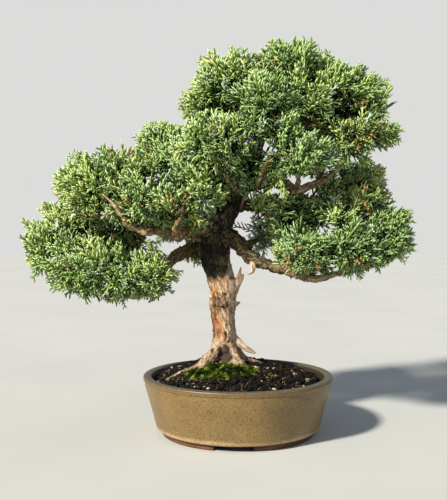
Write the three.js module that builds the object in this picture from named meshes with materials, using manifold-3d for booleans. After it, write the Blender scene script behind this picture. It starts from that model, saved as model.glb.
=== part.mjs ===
// A shimpaku juniper bonsai in a round stoneware pot.
// Units are millimetres, +Z is up, +X is to the viewer's right and -Y is towards the viewer.
// The tree is laid out round the pot's axis; the whole then stands with the middle of its
// bounding box's foot at the origin.

import * as THREE from "three";
import { mergeVertices } from "three/addons/utils/BufferGeometryUtils.js";
import Module from "manifold-3d";

const wasm = await Module();
wasm.setup();

// ---------------------------------------------------------------- driving dimensions

const SEAT_GAP = 0.3; // between pieces that rest on each other

const POT = {
  rimRadius: 100,
  height: 61,
  rimWidth: 8.5,
  rimRound: 1.6,
  baseRadius: 87, // where the glazed wall turns under
  baseTurn: 5,
  footRadius: 81,
  footWidth: 9,
  footHeight: 5,
  floorThickness: 8,
  wallFoot: 9, // wall thickness at the floor
  corner: 3, // the bevel between the floor and the wall inside
  segments: 36,
};
const FEET = { count: 3, cutWidth: 39, cutAngle: -94 }; // cutAngle: the first cut-out, in degrees
const DRAIN = { radius: 10, sides: 20 };

const SCREEN = { side: 30, thickness: 1.2, cells: 4, cell: 4.4, pitch: 6.2 };

const SOIL = {
  crownX: -4, // the mound's summit
  crownY: 10,
  crownHeight: 72,
  fall: 19, // drop from the summit at fallRadius from it
  fallRadius: 90,
  lowest: 51,
  rings: 5,
  lump: 1.3, // half height of the coarse lumps of grit
};

const MOSS = { x: -19, y: -31, radiusX: 35, radiusY: 18, height: 6, sink: 2.5, tuft: 0.9 };

const WOOD_SIDES = { trunk: 12, limb: 5, root: 5, twig: 3 };

const CLUMP = {
  small: 36.5, // a clump that reaches less far than this is the coarser of the two kinds
  fine: { detail: 3, tipSpacing: 0.36 }, // how finely the ball is divided, and the least angle
  coarse: { detail: 2, tipSpacing: 0.48 }, // between two spray tips, in radians
  core: 0.66, // the leafy core's share of the clump's reach
  under: 0.86, // how far the underside reaches, as a share of the top
  margin: 0.7, // mm kept free on each side of the border between two clumps
  lift: 0.12, // how much the tips turn up
  softness: 1.5, // a lower number lets neighbouring clumps swell more towards each other
  swelling: 1.45, // the most that a clump swells, as a share of its reach
};

// ---------------------------------------------------------------- the tree's own lines

// Each station is [x, y, z, radius].
const TRUNK = [
  [-9, 8, 46, 22],
  [-10, 7, 62, 21],
  [-11, 6, 74, 19.5],
  [-12, 5, 85, 16],
  [-13, 3, 98, 12.4],
  [-14, 1, 112, 11],
  [-15, 0, 125, 12],
  [-15, -1, 136, 13.6],
  [-14, -2, 150, 14.2],
  [-17, -3, 165, 14.8],
  [-22, -4, 180, 14.6],
  [-23, -5, 195, 14.2],
  [-21, -5, 210, 12.8],
  [-14, -4, 228, 11],
  [-4, -2, 245, 9.9],
  [5, 0, 261, 9],
  [13, 2, 279, 7.8],
  [19, 3, 300, 6.6],
  [26, 2, 322, 5.2],
  [34, 0, 345, 3.8],
  [43, -4, 374, 2.2],
];

const LIMBS = {
  rightLow: [
    [-17, -6, 209, 8],
    [1, -14, 199, 7],
    [13, -22, 185, 6],
    [29, -29, 178, 5.2],
    [49, -35, 172, 4.5],
    [66, -39, 167, 3.9],
    [80, -40, 165, 3.5],
    [97, -38, 169, 2.8],
    [118, -34, 172, 2.2],
    [138, -30, 179, 1.8],
    [149, -30, 193, 1.4],
  ],
  leftLow: [
    [-22, 0, 185, 8],
    [-37, 5, 191, 7],
    [-54, 9, 189, 6.4],
    [-67, 8, 181, 5.8],
    [-75, 4, 170, 5.2],
    [-79, -4, 158, 4.7],
    [-91, -12, 149, 4.3],
    [-112, -18, 146, 3.6],
    [-134, -22, 151, 3],
    [-159, -20, 161, 2.3],
    [-178, -15, 175, 1.9],
    [-191, -12, 188, 1.5],
  ],
  leftMid: [
    [-22, -8, 215, 8],
    [-36, -17, 219, 7.2],
    [-49, -28, 215, 6.4],
    [-64, -34, 212, 5.8],
    [-81, -36, 213, 5],
    [-99, -35, 216, 4.3],
    [-116, -33, 225, 3.6],
    [-129, -29, 239, 3],
    [-140, -26, 250, 2.2],
    [-153, -26, 257, 1.6],
  ],
  frontLow: [
    [-66, -34, 213, 4.6],
    [-61, -42, 227, 3.8],
    [-51, -50, 240, 3.2],
    [-39, -55, 256, 2.6],
    [-28, -58, 285, 1.8],
  ],
  backLeftHigh: [
    [-11, 0, 234, 6],
    [-26, 20, 250, 5],
    [-46, 36, 269, 4],
    [-67, 44, 288, 3],
    [-86, 45, 307, 2],
  ],
  rightHigh: [
    [6, 0, 260, 6.6],
    [25, -10, 263, 5.8],
    [44, -18, 261, 5],
    [63, -22, 255, 4.3],
    [76, -20, 260, 3.6],
    [91, -18, 266, 3.1],
    [105, -18, 280, 2.6],
    [119, -17, 297, 2.1],
    [133, -14, 309, 1.7],
    [146, -11, 317, 1.4],
  ],
  rightMid: [
    [-8, -3, 238, 5.8],
    [12, 6, 240, 5],
    [31, 14, 236, 4.6],
    [54, 21, 230, 4.1],
    [84, 26, 228, 3.4],
    [114, 31, 236, 2.7],
    [133, 42, 247, 2.2],
    [147, 62, 259, 1.5],
  ],
  backLow: [
    [-17, 0, 212, 6],
    [-6, 26, 205, 5.2],
    [7, 52, 200, 4.4],
    [19, 80, 199, 3.4],
    [28, 98, 204, 2.4],
  ],
  backLeft: [
    [-21, -2, 203, 6.2],
    [-32, 24, 204, 5.2],
    [-43, 50, 205, 4.4],
    [-53, 70, 209, 3.2],
    [-59, 82, 215, 2.2],
  ],
  topLeft: [
    [12, 2, 277, 5],
    [2, 0, 298, 4.2],
    [-8, -4, 321, 3.4],
    [-19, -8, 341, 2.6],
    [-26, -10, 352, 1.8],
  ],
  topFront: [
    [18, 3, 296, 4.6],
    [20, -16, 307, 3.8],
    [22, -34, 317, 3],
    [23, -48, 326, 2],
  ],
  topRight: [
    [21, 3, 307, 5],
    [42, 4, 322, 4.2],
    [66, 4, 336, 3.4],
    [89, 4, 348, 2.6],
    [108, 2, 358, 1.8],
  ],
  topBack: [
    [20, 3, 303, 4.8],
    [31, 22, 322, 4],
    [42, 40, 344, 3.2],
    [54, 56, 372, 2.2],
  ],
};

// Dead, bleached stubs and one torn twig that hangs from the right branch.
const DEADWOOD = [
  [
    [-4, -4, 148, 4.5],
    [-1, -6, 157, 3.6],
    [1, -8, 165, 2.6],
    [3, -9, 175, 0.7],
  ],
  [
    [0, -6, 156, 3],
    [4, -7, 163, 2],
    [6, -8, 168, 0.6],
  ],
  [
    [-6, -3, 133, 3.4],
    [-1, -4, 136, 2.2],
    [2.5, -5, 138, 0.8],
  ],
  [
    [-4, 1, 98, 5],
    [5, -2, 91, 3.6],
    [12, -4, 86.5, 2.8],
    [18.5, -5, 83.5, 1.3],
  ],
  [
    [14, -24, 186, 3.4],
    [15, -27, 178, 3],
    [14.5, -28, 171, 2.4],
    [9, -28, 168.5, 1],
  ],
];

// Surface roots: each station is [x, y, lift over the soil, radius].
const ROOTS = [
  [
    [-19, 0, 15, 9],
    [-26, -7, 12, 6.5],
    [-32, -14, 7, 5],
    [-37, -21, 3.4, 4.2],
    [-41, -28, -0.5, 3.4],
    [-44, -33, -3, 2.4],
  ],
  [
    [-28, -3, 11, 6],
    [-40, -9, 3.5, 3.4],
    [-50, -14, 1.8, 2.4],
    [-60, -17, 1.1, 2],
    [-70, -21, 0.6, 1.7],
    [-76, -23, -1, 1.3],
  ],
  [
    [-14, -8, 2, 5],
    [-17, -17, 2.5, 3.4],
    [-19, -24, 1, 2.8],
    [-21, -29, -2, 2],
  ],
  [
    [-10, -2, 16, 9],
    [-7, -12, 11, 6.6],
    [-1, -20, 7, 5.6],
    [5, -25, 3, 4.8],
    [8, -28, -2, 3.6],
  ],
  [
    [-5, 6, 8, 8],
    [9, 8, 1, 5],
    [21, 9, -1, 3.6],
    [33, 10, -3, 2.4],
  ],
  [
    [-10, 8, 11, 9],
    [-6, 24, 4, 6.4],
    [0, 39, 1, 4.4],
    [6, 52, -1, 2.6],
  ],
  [
    [-15, 8, 11, 9],
    [-27, 21, 4.5, 6],
    [-38, 33, 1, 4],
    [-48, 44, -1, 2.4],
  ],
];

// Each leafy clump: where its middle is and how far it reaches along x, y and z. A limb runs
// right into most; a twig carries each of the others, from that share of its limb's length.
const CLUMPS = {
  left_low_tip: { at: [-195, -10, 193], reach: [31, 30, 30] },
  left_low_front: { at: [-157, -32, 171], reach: [36, 32, 38], limb: "leftLow", from: 0.8 },
  left_low_inner: { at: [-107, -26, 167], reach: [40, 32, 32], limb: "leftLow", from: 0.62 },
  left_low_back: { at: [-175, 20, 222], reach: [40, 34, 28], limb: "leftLow", from: 0.86 },
  left_low_rear: { at: [-128, 26, 202], reach: [34, 31, 27], limb: "leftLow", from: 0.68 },
  left_mid_tip: { at: [-152, -26, 254], reach: [32, 32, 32] },
  left_mid_crown: { at: [-119, -14, 263], reach: [33, 34, 34], limb: "leftMid", from: 0.7 },
  left_mid_inner: { at: [-89, -45, 239], reach: [33, 30, 27], limb: "leftMid", from: 0.45 },
  left_mid_front: { at: [-42, -53, 251], reach: [26, 28, 25] },
  left_mid_under: { at: [-116, -38, 236], reach: [32, 27, 23], limb: "leftMid", from: 0.62 },
  left_mid_low: { at: [-72, -38, 227], reach: [25, 22, 16], limb: "leftMid", from: 0.4 },
  front_crown: { at: [-25, -58, 294], reach: [39, 34, 32] },
  back_left_high: { at: [-80, 44, 305], reach: [31, 34, 28] },
  mid_left_heart: { at: [-62, 0, 281], reach: [31, 33, 30], limb: "backLeftHigh", from: 0.42 },
  front_under: { at: [-14, -26, 262], reach: [25, 22, 17] },
  top_left: { at: [-20, -12, 345], reach: [34, 34, 32] },
  top_left_crest: { at: [-5, -20, 370], reach: [31, 30, 22], limb: "topLeft", from: 0.62 },
  top_left_back: { at: [-17, 50, 346], reach: [40, 33, 36], limb: "topBack", from: 0.4 },
  apex: { at: [53, -8, 372], reach: [39, 38, 34] },
  top_front: { at: [20, -52, 332], reach: [33, 32, 30] },
  top_right: { at: [109, 0, 349], reach: [44, 38, 33] },
  top_right_front: { at: [75, -32, 342], reach: [25, 24, 21], limb: "topRight", from: 0.5 },
  crown_heart: { at: [14, -36, 277], reach: [28, 24, 26], limb: "topFront", from: 0.25 },
  crown_right_heart: { at: [56, -14, 320], reach: [27, 26, 23], limb: "topRight", from: 0.35 },
  top_back: { at: [56, 58, 379], reach: [46, 33, 37] },
  top_right_back: { at: [106, 60, 342], reach: [40, 32, 34], limb: "topRight", from: 0.55 },
  right_high: { at: [110, -20, 310], reach: [38, 33, 31], limb: "rightHigh", from: 0.7 },
  right_high_tip: { at: [144, -10, 316], reach: [20, 23, 23] },
  front_right: { at: [60, -56, 285], reach: [37, 30, 25], limb: "rightHigh", from: 0.35 },
  right_mid_inner: { at: [69, 34, 238], reach: [42, 32, 28], limb: "rightMid", from: 0.42 },
  right_mid_tip: { at: [131, 14, 250], reach: [36, 31, 30] },
  right_mid_back: { at: [143, 72, 266], reach: [25, 28, 29] },
  right_mid_hang: { at: [40, -22, 240], reach: [28, 22, 17], limb: "rightMid", from: 0.3 },
  right_mid_high: { at: [85, 0, 277], reach: [31, 26, 17], limb: "rightHigh", from: 0.5 },
  right_mid_top: { at: [88, -8, 246], reach: [28, 24, 18], limb: "rightMid", from: 0.56 },
  right_mid_low: { at: [60, -6, 221], reach: [32, 25, 18], limb: "rightMid", from: 0.36 },
  right_mid_front: { at: [112, -20, 228], reach: [34, 27, 21], limb: "rightMid", from: 0.66 },
  right_low_inner: { at: [68, -42, 186], reach: [36, 29, 24], limb: "rightLow", from: 0.5 },
  right_low_mid: { at: [112, -42, 193], reach: [35, 31, 28], limb: "rightLow", from: 0.72 },
  right_low_tip: { at: [148, -30, 204], reach: [29, 29, 30] },
  back_low: { at: [31, 108, 209], reach: [36, 32, 36] },
  back_left_low: { at: [-60, 86, 224], reach: [40, 33, 32] },
};

// ---------------------------------------------------------------- solids

// A closed three.js geometry as a solid that can be cut and joined.
function solidOf(geometry) {
  const bare = new THREE.BufferGeometry();
  const plain = geometry.index ? geometry.toNonIndexed() : geometry;
  bare.setAttribute("position", plain.getAttribute("position"));
  const merged = mergeVertices(bare, 1e-3);
  return new wasm.Manifold(
    new wasm.Mesh({
      numProp: 3,
      vertProperties: new Float32Array(merged.attributes.position.array),
      triVerts: new Uint32Array(merged.index.array),
    }),
  );
}

function geometryOf(solid) {
  const mesh = solid.getMesh();
  const geometry = new THREE.BufferGeometry();
  const position = new THREE.BufferAttribute(new Float32Array(mesh.vertProperties), 3);
  geometry.setAttribute("position", position);
  geometry.setIndex(new THREE.BufferAttribute(new Uint32Array(mesh.triVerts), 1));
  geometry.computeVertexNormals();
  return geometry;
}

const union = (solids) => wasm.Manifold.union(solids);

// The largest of a solid's separate bodies: what a cut has left loose is dropped.
function largestBody(solid) {
  const bodies = solid.decompose();
  return bodies.reduce((most, body) => (body.volume() > most.volume() ? body : most));
}

// A repeatable number from 0 to 1 for a whole number.
function hash(n) {
  const s = Math.sin(n * 127.1 + 311.7) * 43758.5453;
  return s - Math.floor(s);
}

// ---------------------------------------------------------------- limbs

function curveThrough(stations) {
  const points = stations.map(([x, y, z]) => new THREE.Vector3(x, y, z));
  return new THREE.CatmullRomCurve3(points, false, "centripetal");
}

function radiusAt(stations, t) {
  const place = t * (stations.length - 1);
  const i = Math.min(Math.floor(place), stations.length - 2);
  return THREE.MathUtils.lerp(stations[i][3], stations[i + 1][3], place - i);
}

// A tapering limb: a cylinder bent along the stations. flute(angle, t) scales the radius, and
// grow is added to it. The rings' frames are carried along the curve without twisting.
function limb(stations, { sides, ringsPerSpan = 1, flute = () => 1, grow = 0 }) {
  const curve = curveThrough(stations);
  const rings = (stations.length - 1) * ringsPerSpan;
  const geometry = new THREE.CylinderGeometry(1, 1, 1, sides, rings);
  const across = new THREE.Vector3(0, -1, 0.2);
  const frames = [];
  for (let i = 0; i <= rings; i++) {
    const t = i / rings;
    const along = curve.getTangent(t);
    across.addScaledVector(along, -across.dot(along)).normalize();
    frames.push({
      centre: curve.getPoint(t).addScaledVector(along, i === 0 ? -grow : i === rings ? grow : 0),
      across: across.clone(),
      beside: new THREE.Vector3().crossVectors(across, along),
      radius: radiusAt(stations, t) + grow,
      t,
    });
  }
  const position = geometry.getAttribute("position");
  const vertex = new THREE.Vector3();
  for (let i = 0; i < position.count; i++) {
    vertex.fromBufferAttribute(position, i);
    const { centre, across: right, beside, radius, t } = frames[Math.round((vertex.y + 0.5) * rings)];
    const reach = radius * flute(Math.atan2(vertex.z, vertex.x), t);
    const moved = centre.clone();
    moved.addScaledVector(right, vertex.x * reach).addScaledVector(beside, vertex.z * reach);
    position.setXYZ(i, moved.x, moved.y, moved.z);
  }
  return solidOf(geometry);
}

// Muscle-like ridges that run up the trunk with a slow twist, and fade out towards the top.
function trunkFlute(angle, t) {
  const depth = 0.13 * (1 - t) + 0.03;
  return 1 + depth * Math.cos(3 * angle + 5 * t) + 0.5 * depth * Math.cos(5 * angle - 4 * t + 1);
}

const limbFlute = (angle, t) => 1 + 0.08 * Math.cos(3 * angle + 9 * t);

// ---------------------------------------------------------------- soil

function soilHeight(x, y) {
  const share = Math.hypot(x - SOIL.crownX, y - SOIL.crownY) / SOIL.fallRadius;
  return Math.max(SOIL.crownHeight - SOIL.fall * share * share, SOIL.lowest);
}

function soilLumps(x, y) {
  const coarse = Math.sin(0.21 * x + 0.13 * y + 1) * Math.cos(0.17 * y - 0.11 * x);
  const fine = Math.sin(0.53 * x - 0.31 * y) * Math.sin(0.47 * y + 0.39 * x + 2);
  return SOIL.lump * (0.6 * coarse + 0.4 * fine);
}

// The pot's inner wall: its radius at a height.
function potBore(z) {
  const floor = POT.footHeight + POT.floorThickness;
  const low = POT.baseRadius - POT.wallFoot;
  const high = POT.rimRadius - POT.rimWidth;
  return THREE.MathUtils.lerp(low, high, (z - floor) / (POT.height - floor));
}

const SCREEN_BED = POT.footHeight + POT.floorThickness + SEAT_GAP;

function soilMass() {
  const floor = POT.footHeight + POT.floorThickness + SEAT_GAP;
  const profile = [
    new THREE.Vector2(0, floor),
    new THREE.Vector2(potBore(floor) - POT.corner - SEAT_GAP, floor),
    new THREE.Vector2(potBore(floor + POT.corner) - SEAT_GAP, floor + POT.corner),
  ];
  const edge = potBore(SOIL.lowest) - SEAT_GAP;
  for (let i = SOIL.rings; i > 0; i--) profile.push(new THREE.Vector2((edge * i) / SOIL.rings, 90));
  profile.push(new THREE.Vector2(0, 90));
  const geometry = new THREE.LatheGeometry(profile, POT.segments).rotateX(Math.PI / 2);
  const position = geometry.getAttribute("position");
  for (let i = 0; i < position.count; i++) {
    if (position.getZ(i) < 80) continue;
    const x = position.getX(i);
    const y = position.getY(i);
    const inward = THREE.MathUtils.smoothstep(edge - Math.hypot(x, y), 0, 8);
    const level = THREE.MathUtils.lerp(SOIL.lowest, soilHeight(x, y), inward);
    position.setZ(i, level + inward * soilLumps(x, y));
  }
  return solidOf(geometry);
}

// ---------------------------------------------------------------- pot

function pot() {
  const { rimRadius, height, rimWidth, rimRound, baseRadius, baseTurn, footRadius } = POT;
  const { footWidth, footHeight, floorThickness, corner, segments } = POT;
  const floor = footHeight + floorThickness;
  const wallBase = footHeight + baseTurn;
  const at = (r, z) => new THREE.Vector2(r, z);
  const profile = [
    at(0, footHeight),
    at(footRadius - footWidth, footHeight),
    at(footRadius - footWidth + 1, 0),
    at(footRadius - 1, 0),
    at(footRadius, 1),
    at(footRadius, footHeight - 0.5),
    at(baseRadius - 3, footHeight + 0.8),
    at(baseRadius - 0.6, footHeight + baseTurn * 0.5),
    at(baseRadius, wallBase),
    at(rimRadius - 1.4, height - 9),
    at(rimRadius - 1.6, height - 5.5),
    at(rimRadius, height - 3.6),
    at(rimRadius, height - rimRound),
    at(rimRadius - rimRound, height),
    at(rimRadius - rimWidth + rimRound, height),
    at(potBore(height - rimRound), height - rimRound),
    at(potBore(floor + corner), floor + corner),
    at(potBore(floor) - corner, floor),
    at(0, floor),
  ];
  const body = solidOf(new THREE.LatheGeometry(profile, segments).rotateX(Math.PI / 2));
  const cuts = [];
  for (let i = 0; i < FEET.count; i++) {
    const angle = THREE.MathUtils.degToRad(FEET.cutAngle) + (i * 2 * Math.PI) / FEET.count;
    const half = FEET.cutWidth / 2;
    const arch = new THREE.Shape();
    arch.moveTo(-half, -1);
    arch.lineTo(half, -1);
    arch.lineTo(half - 2.5, footHeight - 1);
    arch.lineTo(half - 5, footHeight);
    arch.lineTo(-half + 5, footHeight);
    arch.lineTo(-half + 2.5, footHeight - 1);
    arch.closePath();
    const depth = footWidth + 16;
    const cut = new THREE.ExtrudeGeometry(arch, { depth, bevelEnabled: false });
    cut.rotateX(Math.PI / 2).rotateZ(Math.PI / 2);
    cut.translate(footRadius + 8 - depth, 0, 0).rotateZ(angle);
    cuts.push(solidOf(cut));
  }
  const drain = new THREE.CylinderGeometry(DRAIN.radius, DRAIN.radius, 30, DRAIN.sides);
  cuts.push(solidOf(drain.rotateX(Math.PI / 2)));
  return body.subtract(union(cuts));
}

// A square of coarse plastic netting that keeps the grit from running out of the drain hole.
function drainScreen() {
  const { side, thickness, cells, cell, pitch } = SCREEN;
  const sheet = new THREE.BoxGeometry(side, side, thickness);
  const holes = [];
  for (let i = 0; i < cells; i++) {
    for (let j = 0; j < cells; j++) {
      const hole = new THREE.BoxGeometry(cell, cell, 2 * thickness);
      const first = -(cells - 1) / 2;
      holes.push(solidOf(hole.translate((first + i) * pitch, (first + j) * pitch, 0)));
    }
  }
  return solidOf(sheet).subtract(union(holes)).translate(0, 0, SCREEN_BED + thickness / 2);
}

// ---------------------------------------------------------------- moss

// The moss cushion, or, grown, the bed that it lies in.
function mossCushion(grow, open) {
  const { x, y, radiusX, radiusY, height, sink, tuft } = MOSS;
  const rings = 3;
  const sectors = 16;
  const profile = [new THREE.Vector2(0, 0), new THREE.Vector2(1, 0)];
  for (let i = rings; i > 0; i--) profile.push(new THREE.Vector2(i / rings, 1));
  profile.push(new THREE.Vector2(0, 1));
  const geometry = new THREE.LatheGeometry(profile, sectors).rotateX(Math.PI / 2);
  const position = geometry.getAttribute("position");
  for (let i = 0; i < position.count; i++) {
    const u = position.getX(i);
    const v = position.getY(i);
    const angle = Math.atan2(v, u);
    const wave = 1 + 0.07 * Math.sin(3 * angle + 1) + 0.05 * Math.sin(5 * angle);
    const px = x + u * (radiusX * wave + grow);
    const py = y + v * (radiusY * wave + grow);
    const dome = height * Math.sqrt(Math.max(1 - u * u - v * v, 0.02));
    const tufts = tuft * Math.sin(0.9 * px) * Math.sin(0.8 * py + 0.3 * px) * (1 - Math.hypot(u, v));
    const top = open ? 30 : dome + tufts;
    const level = position.getZ(i) > 0.5 ? top : -sink - grow;
    position.setXYZ(i, px, py, soilHeight(px, py) + level);
  }
  return solidOf(geometry);
}

// ---------------------------------------------------------------- clumps of foliage

const clumps = Object.entries(CLUMPS).map(([name, { at, reach, limb: feeder, from }], index) => ({
  name,
  index,
  centre: new THREE.Vector3(...at),
  reach: new THREE.Vector3(...reach),
  feeder: LIMBS[feeder],
  from,
}));

// The twig that carries a clump: it leaves its limb and turns up into the clump's middle.
function twigStations({ centre, reach, feeder, from }) {
  const root = curveThrough(feeder).getPoint(from);
  const girth = radiusAt(feeder, from);
  const end = centre.clone().setZ(centre.z - 0.1 * reach.z);
  const half = root.clone().lerp(end, 0.5);
  half.z -= 0.12 * root.distanceTo(end);
  return [
    [root.x, root.y, root.z, Math.max(girth * 0.7, 1.8)],
    [half.x, half.y, half.z, Math.max(girth * 0.5, 1.5)],
    [end.x, end.y, end.z, 1.3],
  ];
}

// How far an ellipsoid reaches from its middle along a direction.
function reachAlong(reach, direction) {
  return 1 / Math.hypot(direction.x / reach.x, direction.y / reach.y, direction.z / reach.z);
}

// How full of leaves the crown is at a point: 1 on its surface and more inside it.
function fullness(point) {
  let total = 0;
  for (const { centre, reach } of clumps) {
    const down = point.z < centre.z ? CLUMP.under : 1;
    const x = (point.x - centre.x) / reach.x;
    const y = (point.y - centre.y) / reach.y;
    const z = (point.z - centre.z) / (reach.z * down);
    total += Math.exp(-CLUMP.softness * (x * x + y * y + z * z - 1));
  }
  return total;
}

// How far a clump's leafy surface lies along a direction: beyond the clump's own reach where
// its neighbours are near, so that the crown is one body of foliage with few gaps.
function swollenReach({ centre, reach }, direction) {
  const own = reachAlong(reach, direction);
  let low = 0.5 * own;
  let high = CLUMP.swelling * own;
  for (let i = 0; i < 16; i++) {
    const half = (low + high) / 2;
    if (fullness(direction.clone().multiplyScalar(half).add(centre)) > 1) low = half;
    else high = half;
  }
  return low;
}

// The planes where a clump stops for its neighbours: the distance between two middles is shared
// in proportion to how far each clump reaches towards the other.
function bordersOf(clump) {
  const borders = [];
  for (const other of clumps) {
    if (other === clump) continue;
    const away = other.centre.clone().sub(clump.centre);
    const distance = away.length();
    away.divideScalar(distance);
    const own = reachAlong(clump.reach, away);
    const offset = (distance * own) / (own + reachAlong(other.reach, away)) - CLUMP.margin;
    if (offset < 1.6 * own) borders.push({ away, offset });
  }
  return borders;
}

// Draws a point, given from the clump's middle, back towards the middle until it is inside.
function heldBack(point, borders) {
  let share = 1;
  for (const { away, offset } of borders) {
    const along = point.dot(away);
    if (along > offset) share = Math.min(share, offset / along);
  }
  return point.multiplyScalar(share);
}

// A clump's foliage: a closed ball, crumpled so that its hollows lie at the leafy core and its
// spray tips, no two of them side by side, stand out to the clump's full reach and turn up a little.
function clumpFoliage(clump) {
  const { centre, reach, index } = clump;
  const borders = bordersOf(clump);
  const meanReach = (reach.x + reach.y + reach.z) / 3;
  const { detail, tipSpacing } = meanReach < CLUMP.small ? CLUMP.coarse : CLUMP.fine;
  const ball = new THREE.IcosahedronGeometry(1, detail);
  ball.rotateZ(1.3 * index).rotateX(0.7 * index);
  const position = ball.getAttribute("position");
  const tips = [];
  const vertex = new THREE.Vector3();
  const keyOf = ({ x, y, z }) => Math.round(997 * x) + 31 * Math.round(997 * y) + 57 * Math.round(997 * z);
  for (let i = 0; i < position.count; i++) {
    vertex.fromBufferAttribute(position, i);
    if (tips.every((tip) => tip.angleTo(vertex) > tipSpacing)) tips.push(vertex.clone());
  }
  for (let i = 0; i < position.count; i++) {
    vertex.fromBufferAttribute(position, i);
    const chance = hash(keyOf(vertex) + 7 * index);
    const tip = tips.some((other) => other.angleTo(vertex) < 0.01);
    if (tip) vertex.z += CLUMP.lift;
    vertex.multiply(reach).normalize();
    const share = tip ? 0.88 + 0.2 * chance : CLUMP.core * (0.9 + 0.2 * chance);
    vertex.multiplyScalar(swollenReach(clump, vertex) * share);
    heldBack(vertex, borders);
    position.setXYZ(i, vertex.x, vertex.y, vertex.z);
  }
  return solidOf(ball.translate(centre.x, centre.y, centre.z));
}

// ---------------------------------------------------------------- the living wood

// The whole tree's wood, or, grown, the sleeve of space kept free round it.
function wood(grow) {
  const twigFlute = () => 1;
  const parts = [limb(TRUNK, { sides: WOOD_SIDES.trunk, flute: trunkFlute, grow })];
  for (const stations of Object.values(LIMBS)) {
    parts.push(limb(stations, { sides: WOOD_SIDES.limb, flute: limbFlute, grow }));
  }
  for (const stations of ROOTS) {
    const rooted = stations.map(([x, y, lift, radius]) => [x, y, soilHeight(x, y) + lift, radius]);
    parts.push(limb(rooted, { sides: WOOD_SIDES.root, flute: limbFlute, grow }));
  }
  for (const stations of DEADWOOD) {
    parts.push(limb(stations, { sides: WOOD_SIDES.twig, flute: twigFlute, grow }));
  }
  for (const clump of clumps.filter(({ feeder }) => feeder)) {
    parts.push(limb(twigStations(clump), { sides: WOOD_SIDES.twig, flute: twigFlute, grow }));
  }
  return union(parts);
}

// ---------------------------------------------------------------- finishes

const finish = (color, roughness, metalness = 0) =>
  new THREE.MeshStandardMaterial({ color, roughness, metalness });

const FINISH = {
  stoneware: finish(0x9a7f52, 0.55),
  soil: finish(0x453f30, 0.95),
  moss: finish(0x6a6a30, 0.95),
  bark: finish(0x8d7355, 0.9),
  foliage: finish(0x67804a, 0.75),
  netting: finish(0x23262a, 0.6),
};

// ---------------------------------------------------------------- assembly

const tree = new THREE.Group();
tree.name = "juniper_bonsai";

function addPiece(name, solid, material) {
  const mesh = new THREE.Mesh(geometryOf(solid), material);
  mesh.name = name;
  tree.add(mesh);
}

const sleeve = wood(SEAT_GAP);
const bedBox = new THREE.BoxGeometry(
  SCREEN.side + 2 * SEAT_GAP,
  SCREEN.side + 2 * SEAT_GAP,
  2 * (SCREEN.thickness + SEAT_GAP),
);
const screenBed = solidOf(bedBox.translate(0, 0, SCREEN_BED));

addPiece("pot", pot(), FINISH.stoneware);
addPiece("drain_screen", drainScreen(), FINISH.netting);
addPiece(
  "soil",
  largestBody(soilMass().subtract(union([sleeve, mossCushion(SEAT_GAP, true), screenBed]))),
  FINISH.soil,
);
addPiece("moss", largestBody(mossCushion(0, false).subtract(sleeve)), FINISH.moss);
addPiece("trunk", wood(0), FINISH.bark);
for (const clump of clumps) {
  const leafy = largestBody(clumpFoliage(clump).subtract(sleeve));
  addPiece(`foliage_${clump.name}`, leafy, FINISH.foliage);
}

const bounds = new THREE.Box3().setFromObject(tree);
const middle = bounds.getCenter(new THREE.Vector3());
tree.position.set(-middle.x, -middle.y, -bounds.min.z);
tree.updateMatrixWorld(true);

export default tree;
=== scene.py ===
import math
import random

import bmesh
import bpy
from bpy.props import FloatProperty, FloatVectorProperty, IntProperty, PointerProperty
from bpy.types import Operator, Panel, PropertyGroup
from mathutils import Matrix, Vector, kdtree, noise
from mathutils.bvhtree import BVHTree


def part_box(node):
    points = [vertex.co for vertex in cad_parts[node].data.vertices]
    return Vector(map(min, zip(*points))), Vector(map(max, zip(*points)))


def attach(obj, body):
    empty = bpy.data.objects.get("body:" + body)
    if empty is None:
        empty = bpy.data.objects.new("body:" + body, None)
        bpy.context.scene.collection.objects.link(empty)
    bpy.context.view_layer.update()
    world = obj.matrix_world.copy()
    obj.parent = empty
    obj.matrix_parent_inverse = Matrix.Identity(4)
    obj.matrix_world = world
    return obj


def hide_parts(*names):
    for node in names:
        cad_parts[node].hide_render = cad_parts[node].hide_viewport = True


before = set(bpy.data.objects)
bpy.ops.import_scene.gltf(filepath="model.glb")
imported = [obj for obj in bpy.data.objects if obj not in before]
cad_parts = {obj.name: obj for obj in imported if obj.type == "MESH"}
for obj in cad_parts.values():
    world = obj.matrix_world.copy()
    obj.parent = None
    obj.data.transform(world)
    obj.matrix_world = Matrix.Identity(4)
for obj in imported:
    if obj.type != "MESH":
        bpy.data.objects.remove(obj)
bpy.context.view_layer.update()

bl_info = {
    "name": "Juniper Bonsai",
    "version": (1, 0, 0),
    "blender": (4, 5, 0),
    "location": "View3D > Sidebar > Bonsai",
    "description": "Shimpaku juniper in a round stoneware pot, built round its fixed frame",
    "category": "Add Mesh",
}

# The tree is drawn in millimetres round the pot's axis, with +Z up and -Y towards the viewer,
# and every piece is then put where the pot of the frame stands.
POT_LOW, POT_HIGH = (Vector(corner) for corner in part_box("pot"))
POT_AXIS = Vector(((POT_LOW.x + POT_HIGH.x) / 2, (POT_LOW.y + POT_HIGH.y) / 2, POT_LOW.z))
TO_FRAME = Matrix.Translation(POT_AXIS) @ Matrix.Scale(0.001, 4)

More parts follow.
